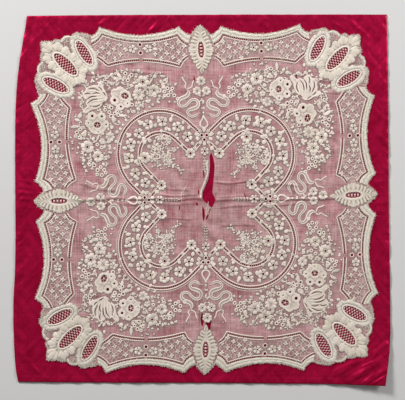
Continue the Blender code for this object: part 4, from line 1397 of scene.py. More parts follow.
@dataclass
class Medallions:
    """The four mid-side medallions: a slim window, a smooth rim and a diamond of petals."""

    centre: tuple = (0.0, 148.3)
    window: tuple = (8.8, 3.2)
    half_length: float = 24.4
    half_width: float = 12.9
    rim: float = 1.5
    # Slits between the petals of a quarter, drawn as dark strips of painted shade, and the petals' ridges
    slits: tuple = (
        ((0.9, 17.6), (2.0, 18.8), (3.2, 19.9)), ((1.3, 14.4), (3.0, 15.9), (5.0, 17.2)),
        ((1.9, 11.8), (4.0, 13.0), (6.7, 14.2)), ((3.2, 9.0), (5.6, 10.0), (8.5, 11.0)),
        ((4.4, 5.9), (7.0, 6.7), (10.2, 7.6)), ((5.2, 2.2), (7.0, 2.6), (8.6, 2.8)),
    )
    ribs: tuple = (
        ((0, 19.0), (0, 21.0), (0, 23.2)), ((0.9, 15.8), (2.2, 17.2), (3.7, 18.5)),
        ((1.6, 13.0), (3.6, 14.5), (5.9, 15.7)), ((2.6, 10.3), (4.8, 11.4), (7.7, 12.6)),
        ((3.9, 7.5), (6.4, 8.4), (9.5, 9.3)), ((4.8, 4.1), (7.6, 4.7), (11.0, 5.1)),
        ((5.0, 0.0), (8.0, 0.1), (12.0, 0.0)),
    )

    def diamond(self, angle: Points, notched: Points) -> Points:
        """Points on the diamond |x / w|^p + |y / l|^p = 1 with p = 1.25, at angles from +v, drawn in."""
        power = 1.25
        sine, cosine = np.sin(angle), np.cos(angle)
        reach = np.abs(sine / self.half_width) ** power + np.abs(cosine / self.half_length) ** power
        reach = reach ** (-1 / power)
        flat = np.column_stack([self.centre[0] + reach * sine, self.centre[1] + reach * cosine])
        return self.centre + (flat - self.centre) * notched[:, None]

    def build(self, lawn: Lawn, work: Needlework, cords: Needlework, net: Needlework) -> None:
        """Adds all four medallions."""
        (middle_u, middle_v), (long, wide) = self.centre, self.window
        hole = ellipse(self.centre, *self.window, 0, 28)
        lawn.holes += all_round([hole])
        angle = np.linspace(0, 2 * math.pi, 132, endpoint=False)
        base = self.diamond(angle, 0.915 + 0.12 * np.abs(np.cos(11 * angle)) ** 0.6)
        for outline, opening in zip(all_round([base]), all_round([hole])):
            work.pad([outline, opening], 1.0, 0.8, 0.9, 0.2, 0.84)
        cords.cords_round(ellipse(self.centre, long + 0.5, wide + 0.5, 0, 36), self.rim, 0.95, closed=True)
        for across in (1, -1):
            for up in (1, -1):
                # The slits are low-toned strips over the padding: painted shade between the petals.
                for lines, width, rise, tone in ((self.ribs, 1.5, 1.28, 1.0), (self.slits, 0.75, 1.12, 0.2)):
                    moved = [[(middle_u + across * u, middle_v + up * v) for u, v in line] for line in lines]
                    work.lines(moved, width, rise, tone)
        knots = np.arange(-2.5, 3)
        discs = np.array([(middle_u - 0.9, middle_v + 3.2 * k, 0, 1.8, 1.9, 0.5) for k in knots])
        discs[[0, -1], 3:5] *= 0.7
        net.petals(rows_round(discs), PetalShape.DISC)
        eyes = [(middle_u + x, middle_v + y, 0) for x in (-7.5, 7.5) for y in (-3.0, 2.8)]
        eyes = rows_round(eyes)[:, :2]
        lawn.eyes(with_sizes(eyes, 0.6))
        work.rings(with_sizes(eyes, 0.5, 0.55, 1.3), 9)
        ties = []
        for high in 3.2 * knots:
            for rise in (1.5, -1.5):
                width = wide * math.sqrt(max(0, 1 - ((high + rise) / (long + 0.8)) ** 2)) + 0.3
                ties += [(0, middle_v + high, side * width, middle_v + high + rise) for side in (1, -1)]
        ties = np.array(ties)
        net.bars_round(ties[:, :2], ties[:, 2:], 0.28, 0.2)


@dataclass
class CornerWork:
    """Each corner: two ovals and a leafy diamond, all with netted windows."""

    oval_centre: tuple = (116.5, 147.2)
    oval_window: tuple = (13.0, 4.7)
    oval_lean: float = 29.0
    oval_rim: tuple = (20.0, 10.3)
    diamond_centre: tuple = (136.6, 136.6)
    diamond_window: tuple = (14.4, 5.3)
    # The padding behind the leaves: centre, half length, half width
    padding: tuple = ((138.4, 138.4), 27.0, 12.4)
    net_pitch: float = 3.0
    net_row: float = 0.76
    # Leaves of the diamond: along the diagonal, across it, turn from the diagonal, length, width
    leaves: tuple = (
        (-14.0, 3.4, 132, 11.0, 8.6), (-8.2, 5.2, 110, 10.4, 8.8), (-0.4, 5.9, 92, 10.0, 9.0),
        (7.6, 5.6, 78, 10.4, 9.0), (14.0, 4.0, 54, 11.2, 8.8),
    )
    tips: tuple = ((-16.0, 0, 180, 11.6, 8.2), (17.4, 0, 0, 14.4, 8.4))
    # Lobes of a leaf: turn from its middle, share of its length, share of its width
    lobes: tuple = ((30, 0.84, 0.58), (-30, 0.84, 0.58), (0, 1.0, 0.66))

    def net(self, centre: tuple, window: tuple, lean: float, work: Needlework) -> None:
        """A knotted net in a window: staggered knots with a thread to each of the two next ones."""
        pitch = self.net_pitch
        j, i = np.meshgrid(np.arange(-9, 10), np.arange(-9, 10))
        along, across = (i + 0.5 * (j % 2)) * pitch, j * pitch * self.net_row
        knots = np.dstack([along, across]).reshape(-1, 2)
        links = []
        for side in (-1, 1):
            other = knots + np.array([side * 0.5 * pitch, self.net_row * pitch])
            middle = (knots + other) / 2
            keep = np.hypot(middle[:, 0] / (window[0] + 0.5), middle[:, 1] / (window[1] + 0.5)) < 1
            links.append(np.column_stack([knots[keep], other[keep]]))
        links = np.vstack(links)
        start = in_window(centre, lean, links[:, 0], links[:, 1])
        end = in_window(centre, lean, links[:, 2], links[:, 3])
        keep = np.hypot(knots[:, 0] / window[0], knots[:, 1] / window[1]) < 0.98
        spots = in_window(centre, lean, knots[keep, 0], knots[keep, 1])
        work.bars_round(start, end, 0.24, 0.15)
        work.petals(rows_round(with_sizes(spots - (0.6, 0), 0, 1.35, 1.2, 0.5)), PetalShape.DISC)

    def oval(self, mirror: bool) -> tuple[tuple, float]:
        """Centre and lean of an oval, or of its mirror image in the diagonal."""
        return (self.oval_centre[::-1], 90 - self.oval_lean) if mirror else (self.oval_centre, self.oval_lean)

    def build(
        self, lawn: Lawn, work: Needlework, cords: Needlework, net: Needlework, edge: Needlework,
        fuzz: Needlework,
    ) -> None:
        """Adds the work of all four corners.

        Args:
            lawn: the cloth that the windows are cut from.
            work: takes the leaves.
            cords: takes the cords round the windows.
            net: takes the nets.
            edge: takes the ovals' rims and the scallops.
            fuzz: takes the nap round the ovals.
        """
        rng = np.random.default_rng(SEED + 6)
        # The tone falls at the rim's feet: painted shade.
        section = ((0.0, 0.0, 0.4), (0.10, 0.7, 0.8), (0.45, 1.0, 0.9), (0.85, 0.7, 0.8), (1.0, 0.1, 0.4))
        for other in (False, True):
            centre, lean = self.oval(other)
            self.window(centre, self.oval_window, lean, 1.7, 0.85, lawn, cords)
            inner = ellipse(centre, self.oval_window[0] + 2.0, self.oval_window[1] + 2.0, lean, 72)
            outer = ellipse(centre, *self.oval_rim, lean, 72)
            edge.bands_round(outer, inner, section, closed=True, ragged=1.3, knobbly=0.55)
            rim = resampled(ellipse(centre, *self.oval_rim, lean, 73), 0.42)
            side = side_of(rim)
            outward = side * np.sign((side * (rim - centre)).sum(axis=1))[:, None]
            for quarter in range(4):
                fuzz.nap(turned(rim, quarter), turned(outward, quarter), 0.9, 0.8, rng)
            self.net(centre, self.oval_window, lean, net)
        hole = self.window(self.diamond_centre, self.diamond_window, 45, 1.9, 1.0, lawn, cords)
        self.net(self.diamond_centre, self.diamond_window, 45, net)
        # The padding behind the leaves is toned low, so the gaps between the leaves show painted shade.
        for opening, outline in zip(all_round([hole]), all_round([ellipse(*self.padding, 45, 60)])):
            edge.pad([outline, opening], 0.25, 1.5, 1.2, clean=0.62)
        rows = []
        for along, across, turn, length, width in (*self.leaves, *self.tips):
            for side in (1, -1) if across else (1,):
                (spot,) = in_window(self.diamond_centre, 45, np.array([along]), np.array([side * across]))
                for spread, reach, share in self.lobes:
                    high = 1.2 + 0.25 * (spread == 0) + 0.05 * (len(rows) % 3)
                    rows.append((*spot, 45 - side * turn + spread, reach * length, share * width, high))
        work.petals(rows_round(rows), PetalShape.ROUND)
        outer = arc((127.5, 163.6), (140.0, 159.4), 3.0, 14)
        inner = arc((127.0, 161.2), (138.2, 157.6), 2.8, 14)
        section = ((0, 0, 0.5), (0.3, 0.9, 1), (0.75, 0.8, 0.95), (1, 0.1, 0.5))
        edge.bands_round(outer, inner, section, ragged=0.3)
        edge.bands_round(outer[:, ::-1], inner[:, ::-1], section, ragged=0.3)
        lawn.thicken(rows_round([(129.5, 157.5, 0), (157.5, 129.5, 0)]), 6.5, 0.35)

    @staticmethod
    def window(
        centre: tuple, size: tuple, lean: float, width: float, rise: float, lawn: Lawn, cords: Needlework
    ) -> Points:
        """Cuts an oval window in all four corners, lays a cord round it, and returns its outline."""
        hole = ellipse(centre, *size, lean, 36)
        lawn.holes += all_round([hole])
        cords.cords_round(ellipse(centre, size[0] + 0.9, size[1] + 0.9, lean, 48), width, rise, closed=True)
        return hole




@dataclass
class Quatrefoil:
    """The four-lobed centre: double lines with ladders, rosettes where they meet and a garland between."""

    lobe: tuple = (45.0, 45.0)
    outer: float = 43.0
    inner: float = 21.5
    big_rosette: float = 61.5
    small_rosette: tuple = (14.5, 45.3)
    # Flowers of the garland in half a lobe: u, v, turn
    garland: tuple = (
        (66.3, 66.3, 45), (74.8, 56.4, 20), (77.4, 41.8, 5), (71.8, 27.0, -20), (62.0, 17.0, -40),
    )
    # Its leaves: u, v, turn, length, width
    garland_leaves: tuple = (
        (73.6, 66.4, -40, 5.4, 2.6), (76.0, 63.0, 60, 4.0, 2.2), (68.4, 57.6, 200, 3.6, 2.2),
        (70.6, 50.2, -10, 4.4, 2.4), (73.4, 49.6, 60, 3.8, 2.2), (78.4, 51.0, 20, 4.4, 2.6),
        (80.0, 47.6, -60, 3.6, 2.0), (70.2, 42.6, 170, 3.2, 2.2), (72.6, 36.2, 120, 4.4, 2.6),
        (76.4, 34.2, -10, 4.8, 2.6), (78.6, 37.4, 30, 3.6, 2.2), (80.4, 31.6, 10, 3.0, 2.0),
        (67.6, 33.2, 60, 4.0, 2.2), (65.0, 26.0, 150, 4.0, 2.4), (67.0, 22.6, -30, 4.2, 2.6),
        (73.6, 20.4, 0, 3.6, 2.2), (68.6, 16.6, -10, 4.0, 2.4), (56.0, 20.6, 120, 3.8, 2.2),
        (57.2, 13.6, 200, 4.2, 2.6), (63.6, 10.4, -60, 4.0, 2.4), (53.0, 9.4, 200, 4.4, 2.6),
        (57.6, 7.6, -20, 3.6, 2.2), (59.6, 24.8, 70, 2.8, 1.8), (62.4, 62.2, 225, 3.0, 2.0),
    )

    def line(self, radius: float, start: tuple) -> Points:
        """A lobe's line: a straight run at 45 degrees, half a circle, and the run back."""
        angle = np.radians(np.linspace(135, -45, max(12, round(math.pi * radius / 2))))
        curve = np.array(self.lobe) + radius * np.column_stack([np.cos(angle), np.sin(angle)])
        run = arc(start, tuple(curve[0]), 0, 8)[:-1]
        return np.vstack([run, curve, run[::-1, ::-1]])

    def lines(self) -> tuple[list[Points], list[Points], list[Points]]:
        """The outer lines, the inner lines and the short links between the rosettes."""
        outer = [self.line(self.outer, (4.6, self.big_rosette + 4.2))]
        inner = [self.line(self.inner, (self.small_rosette[0] + 3.0, self.small_rosette[1] + 3.0))]
        link_start = (self.small_rosette[0] - 3.0, self.small_rosette[1] + 3.0)
        link = arc(link_start, (4.6, self.big_rosette - 6.0), 0, 8)
        return all_round(outer), all_round(inner), all_round([link], True)

    def build(self, lawn: Lawn, work: Needlework, cords: Needlework) -> None:
        """Adds the rosettes, the ghost line round the outside and the garland."""
        ghost = self.line(self.outer + 3.4, (9.5, self.big_rosette + 14.5))
        cords.cords_round(resampled(ghost, 2.0), 0.45, 0.2)
        around = np.arange(10) * 36.0 + 18
        angle = np.radians(around)
        for u, v, _ in rows_round([(0, self.big_rosette, 0)]):
            roots = np.column_stack([u + 4.5 * np.cos(angle), v + 4.5 * np.sin(angle), around])
            work.petals(with_sizes(roots, 4.6, 3.5, 1.0), PetalShape.ROUND, fine=True)
            seeds = math.atan2(v, u) + np.radians([60, 180, 300])
            eyes = np.column_stack([u + 2.9 * np.cos(seeds), v + 2.9 * np.sin(seeds), np.full(3, 1.3)])
            lawn.eyes(eyes)
            work.rings(with_sizes(eyes, 1.0, 0.95))
            work.petals([(u - 0.9, v, 0, 1.8, 1.8, 0.9)], PetalShape.DISC)
        work.flowers(rows_round([(*self.small_rosette, 22.5, 8, 1.3, 5.8, 3.2, 1.0)], True), lawn)
        rng = np.random.default_rng(SEED + 4)
        rows = [(u, v, turn, 5, 1.2, 5.7, 4.5, 0.9) for u, v, turn in self.garland]
        rows += [(v, u, 90 - turn, *rest) for u, v, turn, *rest in rows if u != v]
        leaves = [(*spot, 1.3 * length, 1.5 * wide, 0.85) for *spot, length, wide in self.garland_leaves]
        leaves += [(v, u, 90 - turn, *rest) for u, v, turn, *rest in leaves]
        leaves = rows_round(leaves)
        leaves[:, 2] += rng.normal(0, 12, len(leaves))
        leaves[:, :2] += rng.normal(0, 0.35, (len(leaves), 2))
        work.flowers(rows_round(rows), lawn)
        work.petals(leaves, PetalShape.LEAF)
        lawn.thicken(rows_round(rows), 9.0, 0.32)


@dataclass
class Bouquets:
    """A bouquet in each lobe, thinning to a leafy tail that points to the middle."""

    flowers: tuple = (
        (42.0, 61.2, 10, 8, 1.3, 6.6, 4.0, 1.1), (52.6, 49.2, 30, 6, 0.6, 4.8, 2.8, 0.8),
        (58.4, 36.0, 10, 5, 0.5, 3.2, 2.8, 0.8), (49.2, 31.2, 40, 5, 0.4, 3.0, 2.4, 0.8),
        (61.2, 44.4, 0, 5, 0.4, 3.2, 2.6, 0.8), (44.8, 36.4, 0, 5, 0.4, 2.8, 2.0, 0.7),
    )
    sprig_flower: tuple = (0.0, 47.3, 90, 6, 1.2, 4.6, 2.9, 0.9)
    sprig_buds: tuple = (41.6, 38.6, 35.6, 32.8, 30.2)
    # Large buds and leaves at the head: u, v, turn, length, width
    buds: tuple = (
        (50.0, 56.4, 0, 5.2, 4.6), (56.2, 56.0, -10, 5.2, 4.8), (54.6, 60.4, 10, 6.4, 4.4),
        (59.0, 62.6, -20, 4.4, 3.6), (44.0, 55.6, 200, 4.6, 2.8), (47.0, 53.0, 250, 4.4, 2.6),
        (55.6, 51.8, -30, 5.0, 2.8), (60.4, 50.6, -60, 4.6, 2.4), (33.6, 52.4, 110, 3.2, 2.4),
        (38.0, 52.4, 80, 3.4, 2.4), (54.8, 40.2, 260, 3.8, 2.2), (50.6, 28.8, 280, 3.0, 2.2),
        (63.4, 40.2, 250, 3.6, 2.2), (61.6, 36.8, 300, 3.4, 2.0),
    )
    stems: tuple = (
        ((54, 54), (45, 44), (37, 36), (32, 29.5), (28.6, 24.0)),
        ((50, 55), (44, 50.5), (38, 47.5), (33.0, 46.0)), ((48, 51), (42, 45), (37, 41.4), (33.4, 38.6)),
        ((51, 48), (46, 41), (42, 36.5), (39, 32.5)), ((54, 47), (51, 40), (48.5, 35.5)),
        ((58, 48), (57, 42), (56, 38)), ((47, 56), (41, 53), (36.5, 50.5)), ((60, 50), (62, 44), (61, 39)),
        ((44, 47), (40, 41), (36, 33.5)),
    )

    def build(self, lawn: Lawn, work: Needlework, cords: Needlework) -> None:
        """Adds the four bouquets and the sprigs on the axes."""
        rng = np.random.default_rng(SEED + 2)
        leaves = []
        for stations in self.stems:
            path = smooth_path(stations, 2.2)
            cords.cords_round(path, 0.5, 0.4)
            way = np.degrees(np.arctan2(*np.gradient(path, axis=0).T[::-1]))
            sizes = np.linspace(1.0, 1.15, len(path))
            for side in (1, -1):
                for spot, heading, size in zip(path[1:], way[1:], sizes[1:]):
                    leaves.append((
                        *(spot + rng.normal(0, 0.8, 2)), heading + side * rng.normal(48, 24),
                        size * rng.uniform(2.3, 3.3), size * rng.uniform(1.15, 1.6), 0.8,
                    ))
        leaves += [(*bud, 1.0) for bud in self.buds]
        work.petals(rows_round(leaves), PetalShape.LEAF)
        work.flowers(rows_round(self.flowers), lawn)
        lawn.thicken(rows_round([(54, 54, 0), (46, 46, 0)]), 12.0, 0.22)
        work.flowers(rows_round([self.sprig_flower]), lawn)
        buds = [
            (side * 0.3, height, -90 + side * 42, 2.3, 1.3, 0.5)
            for height in self.sprig_buds for side in (1, -1)
        ]
        work.petals(rows_round([*buds, (0, 28.6, -90, 2.6, 1.2, 0.45)]), PetalShape.LEAF)


@dataclass
class CornerFlowers:
    """The wreath: in each quarter two roses, a plume between them, and flowers, florets, buds and leaves."""

    # Roses: the discs that make each outline, as (u, v, radius)
    roses: tuple = (
        (
            (75.8, 107.8, 10.2), (77.6, 115.6, 4.9), (84.4, 112.4, 5.1), (83.6, 102.8, 4.9),
            (76.0, 99.6, 4.6), (69.8, 107.6, 4.2),
        ),
        (
            (101.6, 82.0, 10.2), (99.4, 88.6, 5.4), (93.2, 83.6, 4.6), (96.0, 76.8, 4.9),
            (103.8, 77.2, 5.8), (109.2, 82.6, 4.5), (106.6, 88.0, 5.0),
        ),
    )
    # Eyelets of the roses: u, v, radius
    rose_eyes: tuple = (
        (84.7, 112.3, 1.35), (84.0, 102.8, 1.15), (77.9, 116.4, 0.7), (75.9, 98.8, 0.8), (68.6, 107.2, 0.6),
        (99.7, 88.9, 1.6), (93.2, 83.0, 1.1), (96.3, 76.1, 0.7),
    )
    # Netted hearts of the roses: u, v, half length, half width, lean, turn of the first spoke
    hearts: tuple = ((75.6, 107.6, 3.0, 2.6, 0, 18), (103.7, 78.2, 3.5, 2.6, 20, 52))
    # The plume between the roses: its outline, the slits in it, drawn as strips of painted shade, and the
    # rims of its petals
    plume: tuple = (
        (97, 99.5), (93, 103.2), (90.8, 108), (90.0, 113), (87.2, 117.0), (86.6, 120), (89, 121.6),
        (92.2, 120.4), (94.6, 117.4), (97.4, 118.8), (100, 117.6), (102.4, 120.2), (105.4, 121.6),
        (108.2, 121), (110, 118.4), (112.6, 117.8), (114.6, 113.6), (115.8, 109), (115.2, 105.4),
        (118.8, 104.0), (119.4, 101.6), (116, 99.6), (111, 98.4), (106, 96.2), (102, 95.2), (99.4, 96.8),
    )
    plume_slits: tuple = (
        ((94.2, 112.4), (93.9, 108.5), (95.6, 104)), ((97.2, 116.8), (100.4, 112), (101.4, 106)),
        ((100.6, 118.2), (103.6, 113), (104.0, 107)), ((106.3, 111.4), (107.6, 107.6), (107.0, 103.4)),
        ((111.8, 115.4), (111.9, 109.4), (109.4, 104)), ((92.4, 117.6), (93.6, 114.8), (95.2, 112.6)),
        ((104.0, 97.0), (106.2, 98.8), (108.6, 99.8)), ((106.8, 119.4), (107.4, 115.4), (106.6, 112.4)),
        ((95.4, 103.0), (97.4, 100.6), (99.6, 98.9)), ((113.4, 104.6), (111.6, 102.2), (109.4, 101)),
    )
    plume_lights: tuple = (
        ((91.4, 119), (93.6, 115.6), (92.2, 110), (93.6, 105), (96.6, 101.6)),
        ((95.8, 111.2), (96.2, 106.6), (98.2, 101.6)),
        ((98.0, 113.8), (99.8, 109), (99.4, 103.4), (101, 99.6)),
        ((101.2, 116.2), (102.6, 110), (102.6, 104), (103, 99.6)),
        ((104.9, 115.8), (105.6, 109), (104.9, 103)),
        ((109.0, 117.4), (109.8, 111), (108.6, 105.4), (106.4, 101)),
        ((113.2, 114.6), (113.8, 109), (111.8, 104.6), (108, 100.6)),
        ((103.6, 96.2), (107.4, 97.8), (110.8, 100)),
    )
    flowers: tuple = (
        (54.0, 118.6, 12, 6, 1.2, 7.0, 5.6, 1.1), (44.4, 108.4, 30, 6, 1.0, 6.0, 4.8, 1.0),
        (117.2, 59.4, 20, 6, 1.3, 7.0, 5.6, 1.1), (108.7, 48.6, 0, 6, 1.0, 6.2, 4.8, 1.0),
        (104.6, 64.4, 15, 9, 0.6, 7.0, 3.6, 0.9), (63.6, 95.4, 0, 7, 0.6, 5.4, 3.6, 0.9),
        (94.5, 65.4, 40, 5, 0.7, 4.0, 3.2, 0.8), (64.6, 122.8, 0, 5, 0.7, 4.2, 3.2, 0.8),
        (59.4, 103.6, 20, 5, 0.5, 3.4, 2.8, 0.9),
    )
    # Small ringed florets: u, v, eye radius
    florets: tuple = (
        (30.5, 109.4, 0.8), (30.5, 102.9, 0.7), (26.2, 110.0, 0.5), (25.6, 105.4, 0.7), (21.2, 101.6, 0.6),
        (36.0, 117.0, 0.6), (35.4, 112.6, 0.9), (33.6, 106.2, 0.6), (27.6, 101.4, 0.5), (106.4, 31.9, 0.8),
        (110.2, 35.0, 0.7), (103.2, 34.6, 0.7), (107.2, 38.2, 0.6), (103.0, 38.0, 0.5), (110.0, 30.2, 0.6),
        (103.0, 28.6, 0.7), (99.6, 25.4, 0.5), (84.0, 93.3, 1.0), (88.0, 95.0, 0.7), (92.3, 92.7, 0.9),
        (86.6, 89.6, 0.7), (84.9, 86.2, 0.7), (90.4, 99.0, 0.6), (88.2, 86.8, 0.5), (80.6, 90.0, 0.5),
        (118.9, 74.2, 0.8), (122.2, 72.4, 0.6), (125.6, 76.2, 0.8), (124.1, 70.2, 0.8), (121.4, 77.6, 0.5),
        (63.4, 125.8, 0.7), (68.6, 128.2, 0.8), (65.0, 129.6, 0.5), (67.3, 121.0, 0.9), (71.6, 124.8, 0.6),
        (94.6, 71.6, 0.8), (103.4, 48.2, 0.7), (60.0, 103.6, 0.8), (56.2, 108.6, 0.5), (53.0, 104.2, 0.6),
    )
    # Buds and leaves: u, v, turn, length, width
    leaves: tuple = (
        (86.0, 91.4, 182, 9.6, 2.4), (85.0, 86.0, 262, 6.2, 2.2), (80.6, 87.0, 215, 6.0, 2.0),
        (119.6, 80.0, 25, 10.0, 2.4), (122.0, 95.0, 50, 4.2, 2.0), (123.2, 92.2, 320, 4.6, 2.0),
        (120.0, 89.2, 300, 4.6, 2.2), (113.6, 90.4, 20, 4.2, 3.2), (116.6, 86.0, 340, 4.8, 2.2),
        (124.6, 107.6, 40, 4.8, 2.0), (117.4, 108.6, 20, 2.4, 1.8), (119.6, 106.4, 330, 2.4, 1.6),
        (116.6, 105.4, 300, 2.2, 1.6), (101.6, 121.6, 60, 4.4, 2.2), (102.0, 128.6, 80, 4.2, 2.2),
        (98.2, 121.2, 120, 4.0, 1.8), (106.0, 123.6, 30, 3.2, 1.8), (87.6, 123.2, 160, 4.8, 3.2),
        (75.0, 125.6, 95, 8.0, 2.6), (79.8, 124.4, 60, 5.6, 2.2), (71.2, 118.6, 130, 4.6, 2.4),
        (45.6, 101.4, 20, 3.0, 1.6), (45.2, 101.2, 160, 3.0, 1.6), (44.0, 98.6, 240, 2.6, 1.7),
        (47.4, 98.2, 300, 2.6, 1.7), (33.4, 120.4, 70, 2.8, 2.6), (41.0, 120.8, 100, 3.2, 2.8),
        (45.2, 119.6, 60, 2.2, 2.0), (38.6, 122.8, 150, 2.6, 1.6), (52.2, 131.6, 100, 2.6, 1.4),
        (55.2, 128.0, 200, 3.0, 1.6), (57.0, 132.0, 60, 2.4, 1.4), (49.0, 127.4, 130, 2.6, 1.5),
        (60.4, 131.6, 110, 3.0, 1.6), (62.4, 134.0, 20, 2.6, 1.4), (38.4, 104.4, 200, 4.2, 2.0),
        (39.4, 112.6, 150, 4.0, 1.9), (48.8, 113.8, 60, 3.4, 2.2), (59.6, 113.6, 330, 4.8, 2.4),
        (51.4, 101.8, 340, 4.4, 2.2), (57.4, 99.4, 300, 5.0, 2.6), (66.4, 100.4, 60, 4.4, 2.2),
        (60.2, 91.4, 220, 4.2, 2.4), (66.8, 90.4, 300, 4.0, 2.4), (70.8, 94.6, 340, 4.6, 2.4),
        (92.2, 67.6, 230, 4.4, 2.2), (90.2, 70.4, 200, 3.8, 2.0), (98.8, 69.8, 60, 4.4, 2.2),
        (99.0, 58.6, 240, 4.4, 2.4), (110.6, 64.2, 20, 4.6, 2.4), (112.0, 68.6, 60, 4.4, 2.2),
        (103.2, 56.6, 200, 4.6, 2.2), (113.6, 52.6, 20, 4.4, 2.2), (96.2, 51.0, 180, 3.2, 2.4),
        (98.4, 47.0, 240, 4.2, 2.0), (121.6, 49.0, 280, 3.6, 3.0), (117.2, 43.2, 270, 3.8, 2.6),
        (121.8, 40.4, 280, 3.8, 2.2), (112.2, 41.4, 250, 4.2, 3.0), (121.8, 52.4, 60, 3.4, 1.8),
        (122.8, 63.6, 40, 3.6, 1.8), (112.4, 32.4, 330, 3.2, 1.5), (98.6, 33.4, 170, 3.2, 1.5),
        (98.0, 28.6, 190, 3.0, 1.4), (112.6, 28.2, 320, 3.4, 1.6), (104.6, 42.6, 160, 3.8, 2.2),
        (124.0, 60.0, 350, 3.6, 1.9), (112.4, 73.4, 20, 4.4, 2.2), (127.6, 73.4, 20, 3.4, 1.8),
        (126.6, 69.0, 330, 3.8, 1.8), (122.4, 67.6, 270, 3.2, 1.8), (116.6, 70.2, 250, 3.2, 1.8),
        (95.0, 60.6, 180, 3.6, 1.8), (88.6, 66.2, 190, 3.0, 1.6), (90.4, 75.4, 170, 4.0, 2.2),
        (72.2, 86.6, 230, 4.2, 2.2), (76.0, 83.6, 250, 3.8, 2.0), (80.2, 80.6, 240, 3.6, 1.9),
        (57.6, 86.6, 230, 3.6, 1.8), (53.6, 92.4, 200, 3.8, 1.9), (49.4, 95.2, 190, 3.2, 1.7),
        (84.4, 76.6, 210, 3.6, 1.9), (88.4, 60.4, 250, 3.2, 1.7), (93.6, 55.4, 220, 3.2, 1.7),
    )

    # The band that the wreath fills in a quarter
    band: tuple = (
        (25, 106), (30, 120), (46, 125), (52, 132), (80, 130), (92, 125), (113, 121), (126, 109), (126, 92),
        (132, 76), (127, 60), (125, 42), (114, 26), (100, 27), (100, 40), (97, 52), (90, 64), (84, 76),
        (74, 89), (62, 91), (46, 97), (33, 100),
    )

    def rose(self, discs: tuple) -> Points:
        """The outline round overlapping discs: the farthest reach at each angle, finely scalloped."""
        angle = np.linspace(0, 2 * math.pi, 126, endpoint=False)
        way = np.column_stack([np.cos(angle), np.sin(angle)])
        middle = np.array(discs[0][:2])
        reach = np.zeros(len(angle))
        for u, v, radius in discs:
            offset = np.array([u, v]) - middle
            along = way @ offset
            room = radius**2 - (offset @ offset - along**2)
            reach = np.maximum(reach, np.where(room > 0, along + np.sqrt(np.maximum(room, 0)), 0))
        reach *= 0.965 + 0.05 * np.abs(np.cos(10.5 * angle))
        return middle + reach[:, None] * way

    def filling(self, rng: np.random.Generator) -> Points:
        """Small buds and leaves between the flowers, on a jittered grid kept off the larger work."""
        u, v = np.meshgrid(np.arange(22, 136, 4.4), np.arange(22, 136, 3.9))
        spots = np.column_stack([u.ravel(), v.ravel()]) + rng.uniform(-1.3, 1.3, (u.size, 2))
        busy = [(*flower[:2], 0.86 * flower[5]) for flower in self.flowers]
        busy += [disc for rose in self.roses for disc in rose]
        busy += [(104, 108, 11.0), (94, 117, 5.0), (104, 101, 9.0)]
        busy += [(u, v, r + 1.7) for u, v, r in self.florets]
        for u, v, turn, length, _ in self.leaves:
            half, way = 0.5 * length, math.radians(turn)
            busy.append((u + half * math.cos(way), v + half * math.sin(way), 1.9))
        busy = np.array(busy)
        away = np.hypot(spots[:, 0, None] - busy[:, 0], spots[:, 1, None] - busy[:, 1]) - busy[:, 2]
        spots = spots[inside(spots, np.array(self.band, float)) & (away.min(axis=1) > 0.4)]
        count = len(spots)
        heading = rng.uniform(0, 360, count)
        sprays = []
        for aside in (-58, 0, 58):
            length = rng.uniform(2.5, 3.9, count) * (1.15 if aside == 0 else 0.95)
            turn = heading + aside + rng.normal(0, 9, count)
            width, rise = rng.uniform(1.25, 1.85, count), rng.uniform(0.55, 0.9, count)
            sprays.append(np.column_stack([spots, turn, length, width, rise]))
        return np.vstack(sprays)

    def build(self, lawn: Lawn, work: Needlework, rings: Needlework, net: Needlework) -> None:
        """Adds the wreath's four quarters."""
        rng = np.random.default_rng(SEED + 3)
        eyes = rows_round([(u, v, 0, r) for u, v, r in self.rose_eyes])[:, [0, 1, 3]]
        lawn.eyes(eyes)
        rings.rings(with_sizes(eyes - (0, 0, 0.1), 1.0, 1.2), 14)
        openings = [ellipse((u, v), long, wide, lean, 22) for u, v, long, wide, lean, _ in self.hearts]
        lawn.holes += all_round(openings)
        middles, ends = [], []
        for u, v, long, wide, lean, first in self.hearts:
            turn = np.radians(first + 72 * np.arange(5))
            middles.append(np.full((5, 2), (u, v)))
            ends.append(in_window((u, v), lean, long * np.cos(turn), wide * np.sin(turn)))
        net.bars_round(np.vstack(middles), np.vstack(ends), 0.42, 0.25)
        knots = [(u - 0.8, v, 0, 1.6, 1.5, 0.5) for u, v, *_ in self.hearts]
        net.petals(rows_round(knots), PetalShape.DISC)
        round_eyes = [ellipse((u, v), r, r, 0, 11) for u, v, r in self.rose_eyes]
        for discs in self.roses:
            outline = self.rose(discs)
            holes = [hole for hole in round_eyes if inside(hole.mean(axis=0)[None], outline)[0]]
            holes += [opening for opening in openings if inside(opening[:1], outline)[0]]
            for quarter in range(4):
                loops = [turned(loop, quarter) for loop in (outline, *holes)]
                work.pad(loops, 1.25, 0.8, 0.9, 0.30, 0.9)
            for u, v, r in discs[1:]:
                turn = math.atan2(v - discs[0][1], u - discs[0][0])
                at = turn + np.radians(np.linspace(105, 255, 9))
                fold = np.column_stack([u + (r - 0.6) * np.cos(at), v + (r - 0.6) * np.sin(at)])
                # Fold lines over each lobe of a rose, toned low: painted shade in the folds.
                work.lines([fold], 0.7, 1.12, 0.45)
        for quarter in range(4):
            work.pad([turned(self.plume, quarter)], 1.15, 0.8, 0.9, 0.22, 0.93)
        work.lines(self.plume_lights, 1.35, 1.5, 1.0)
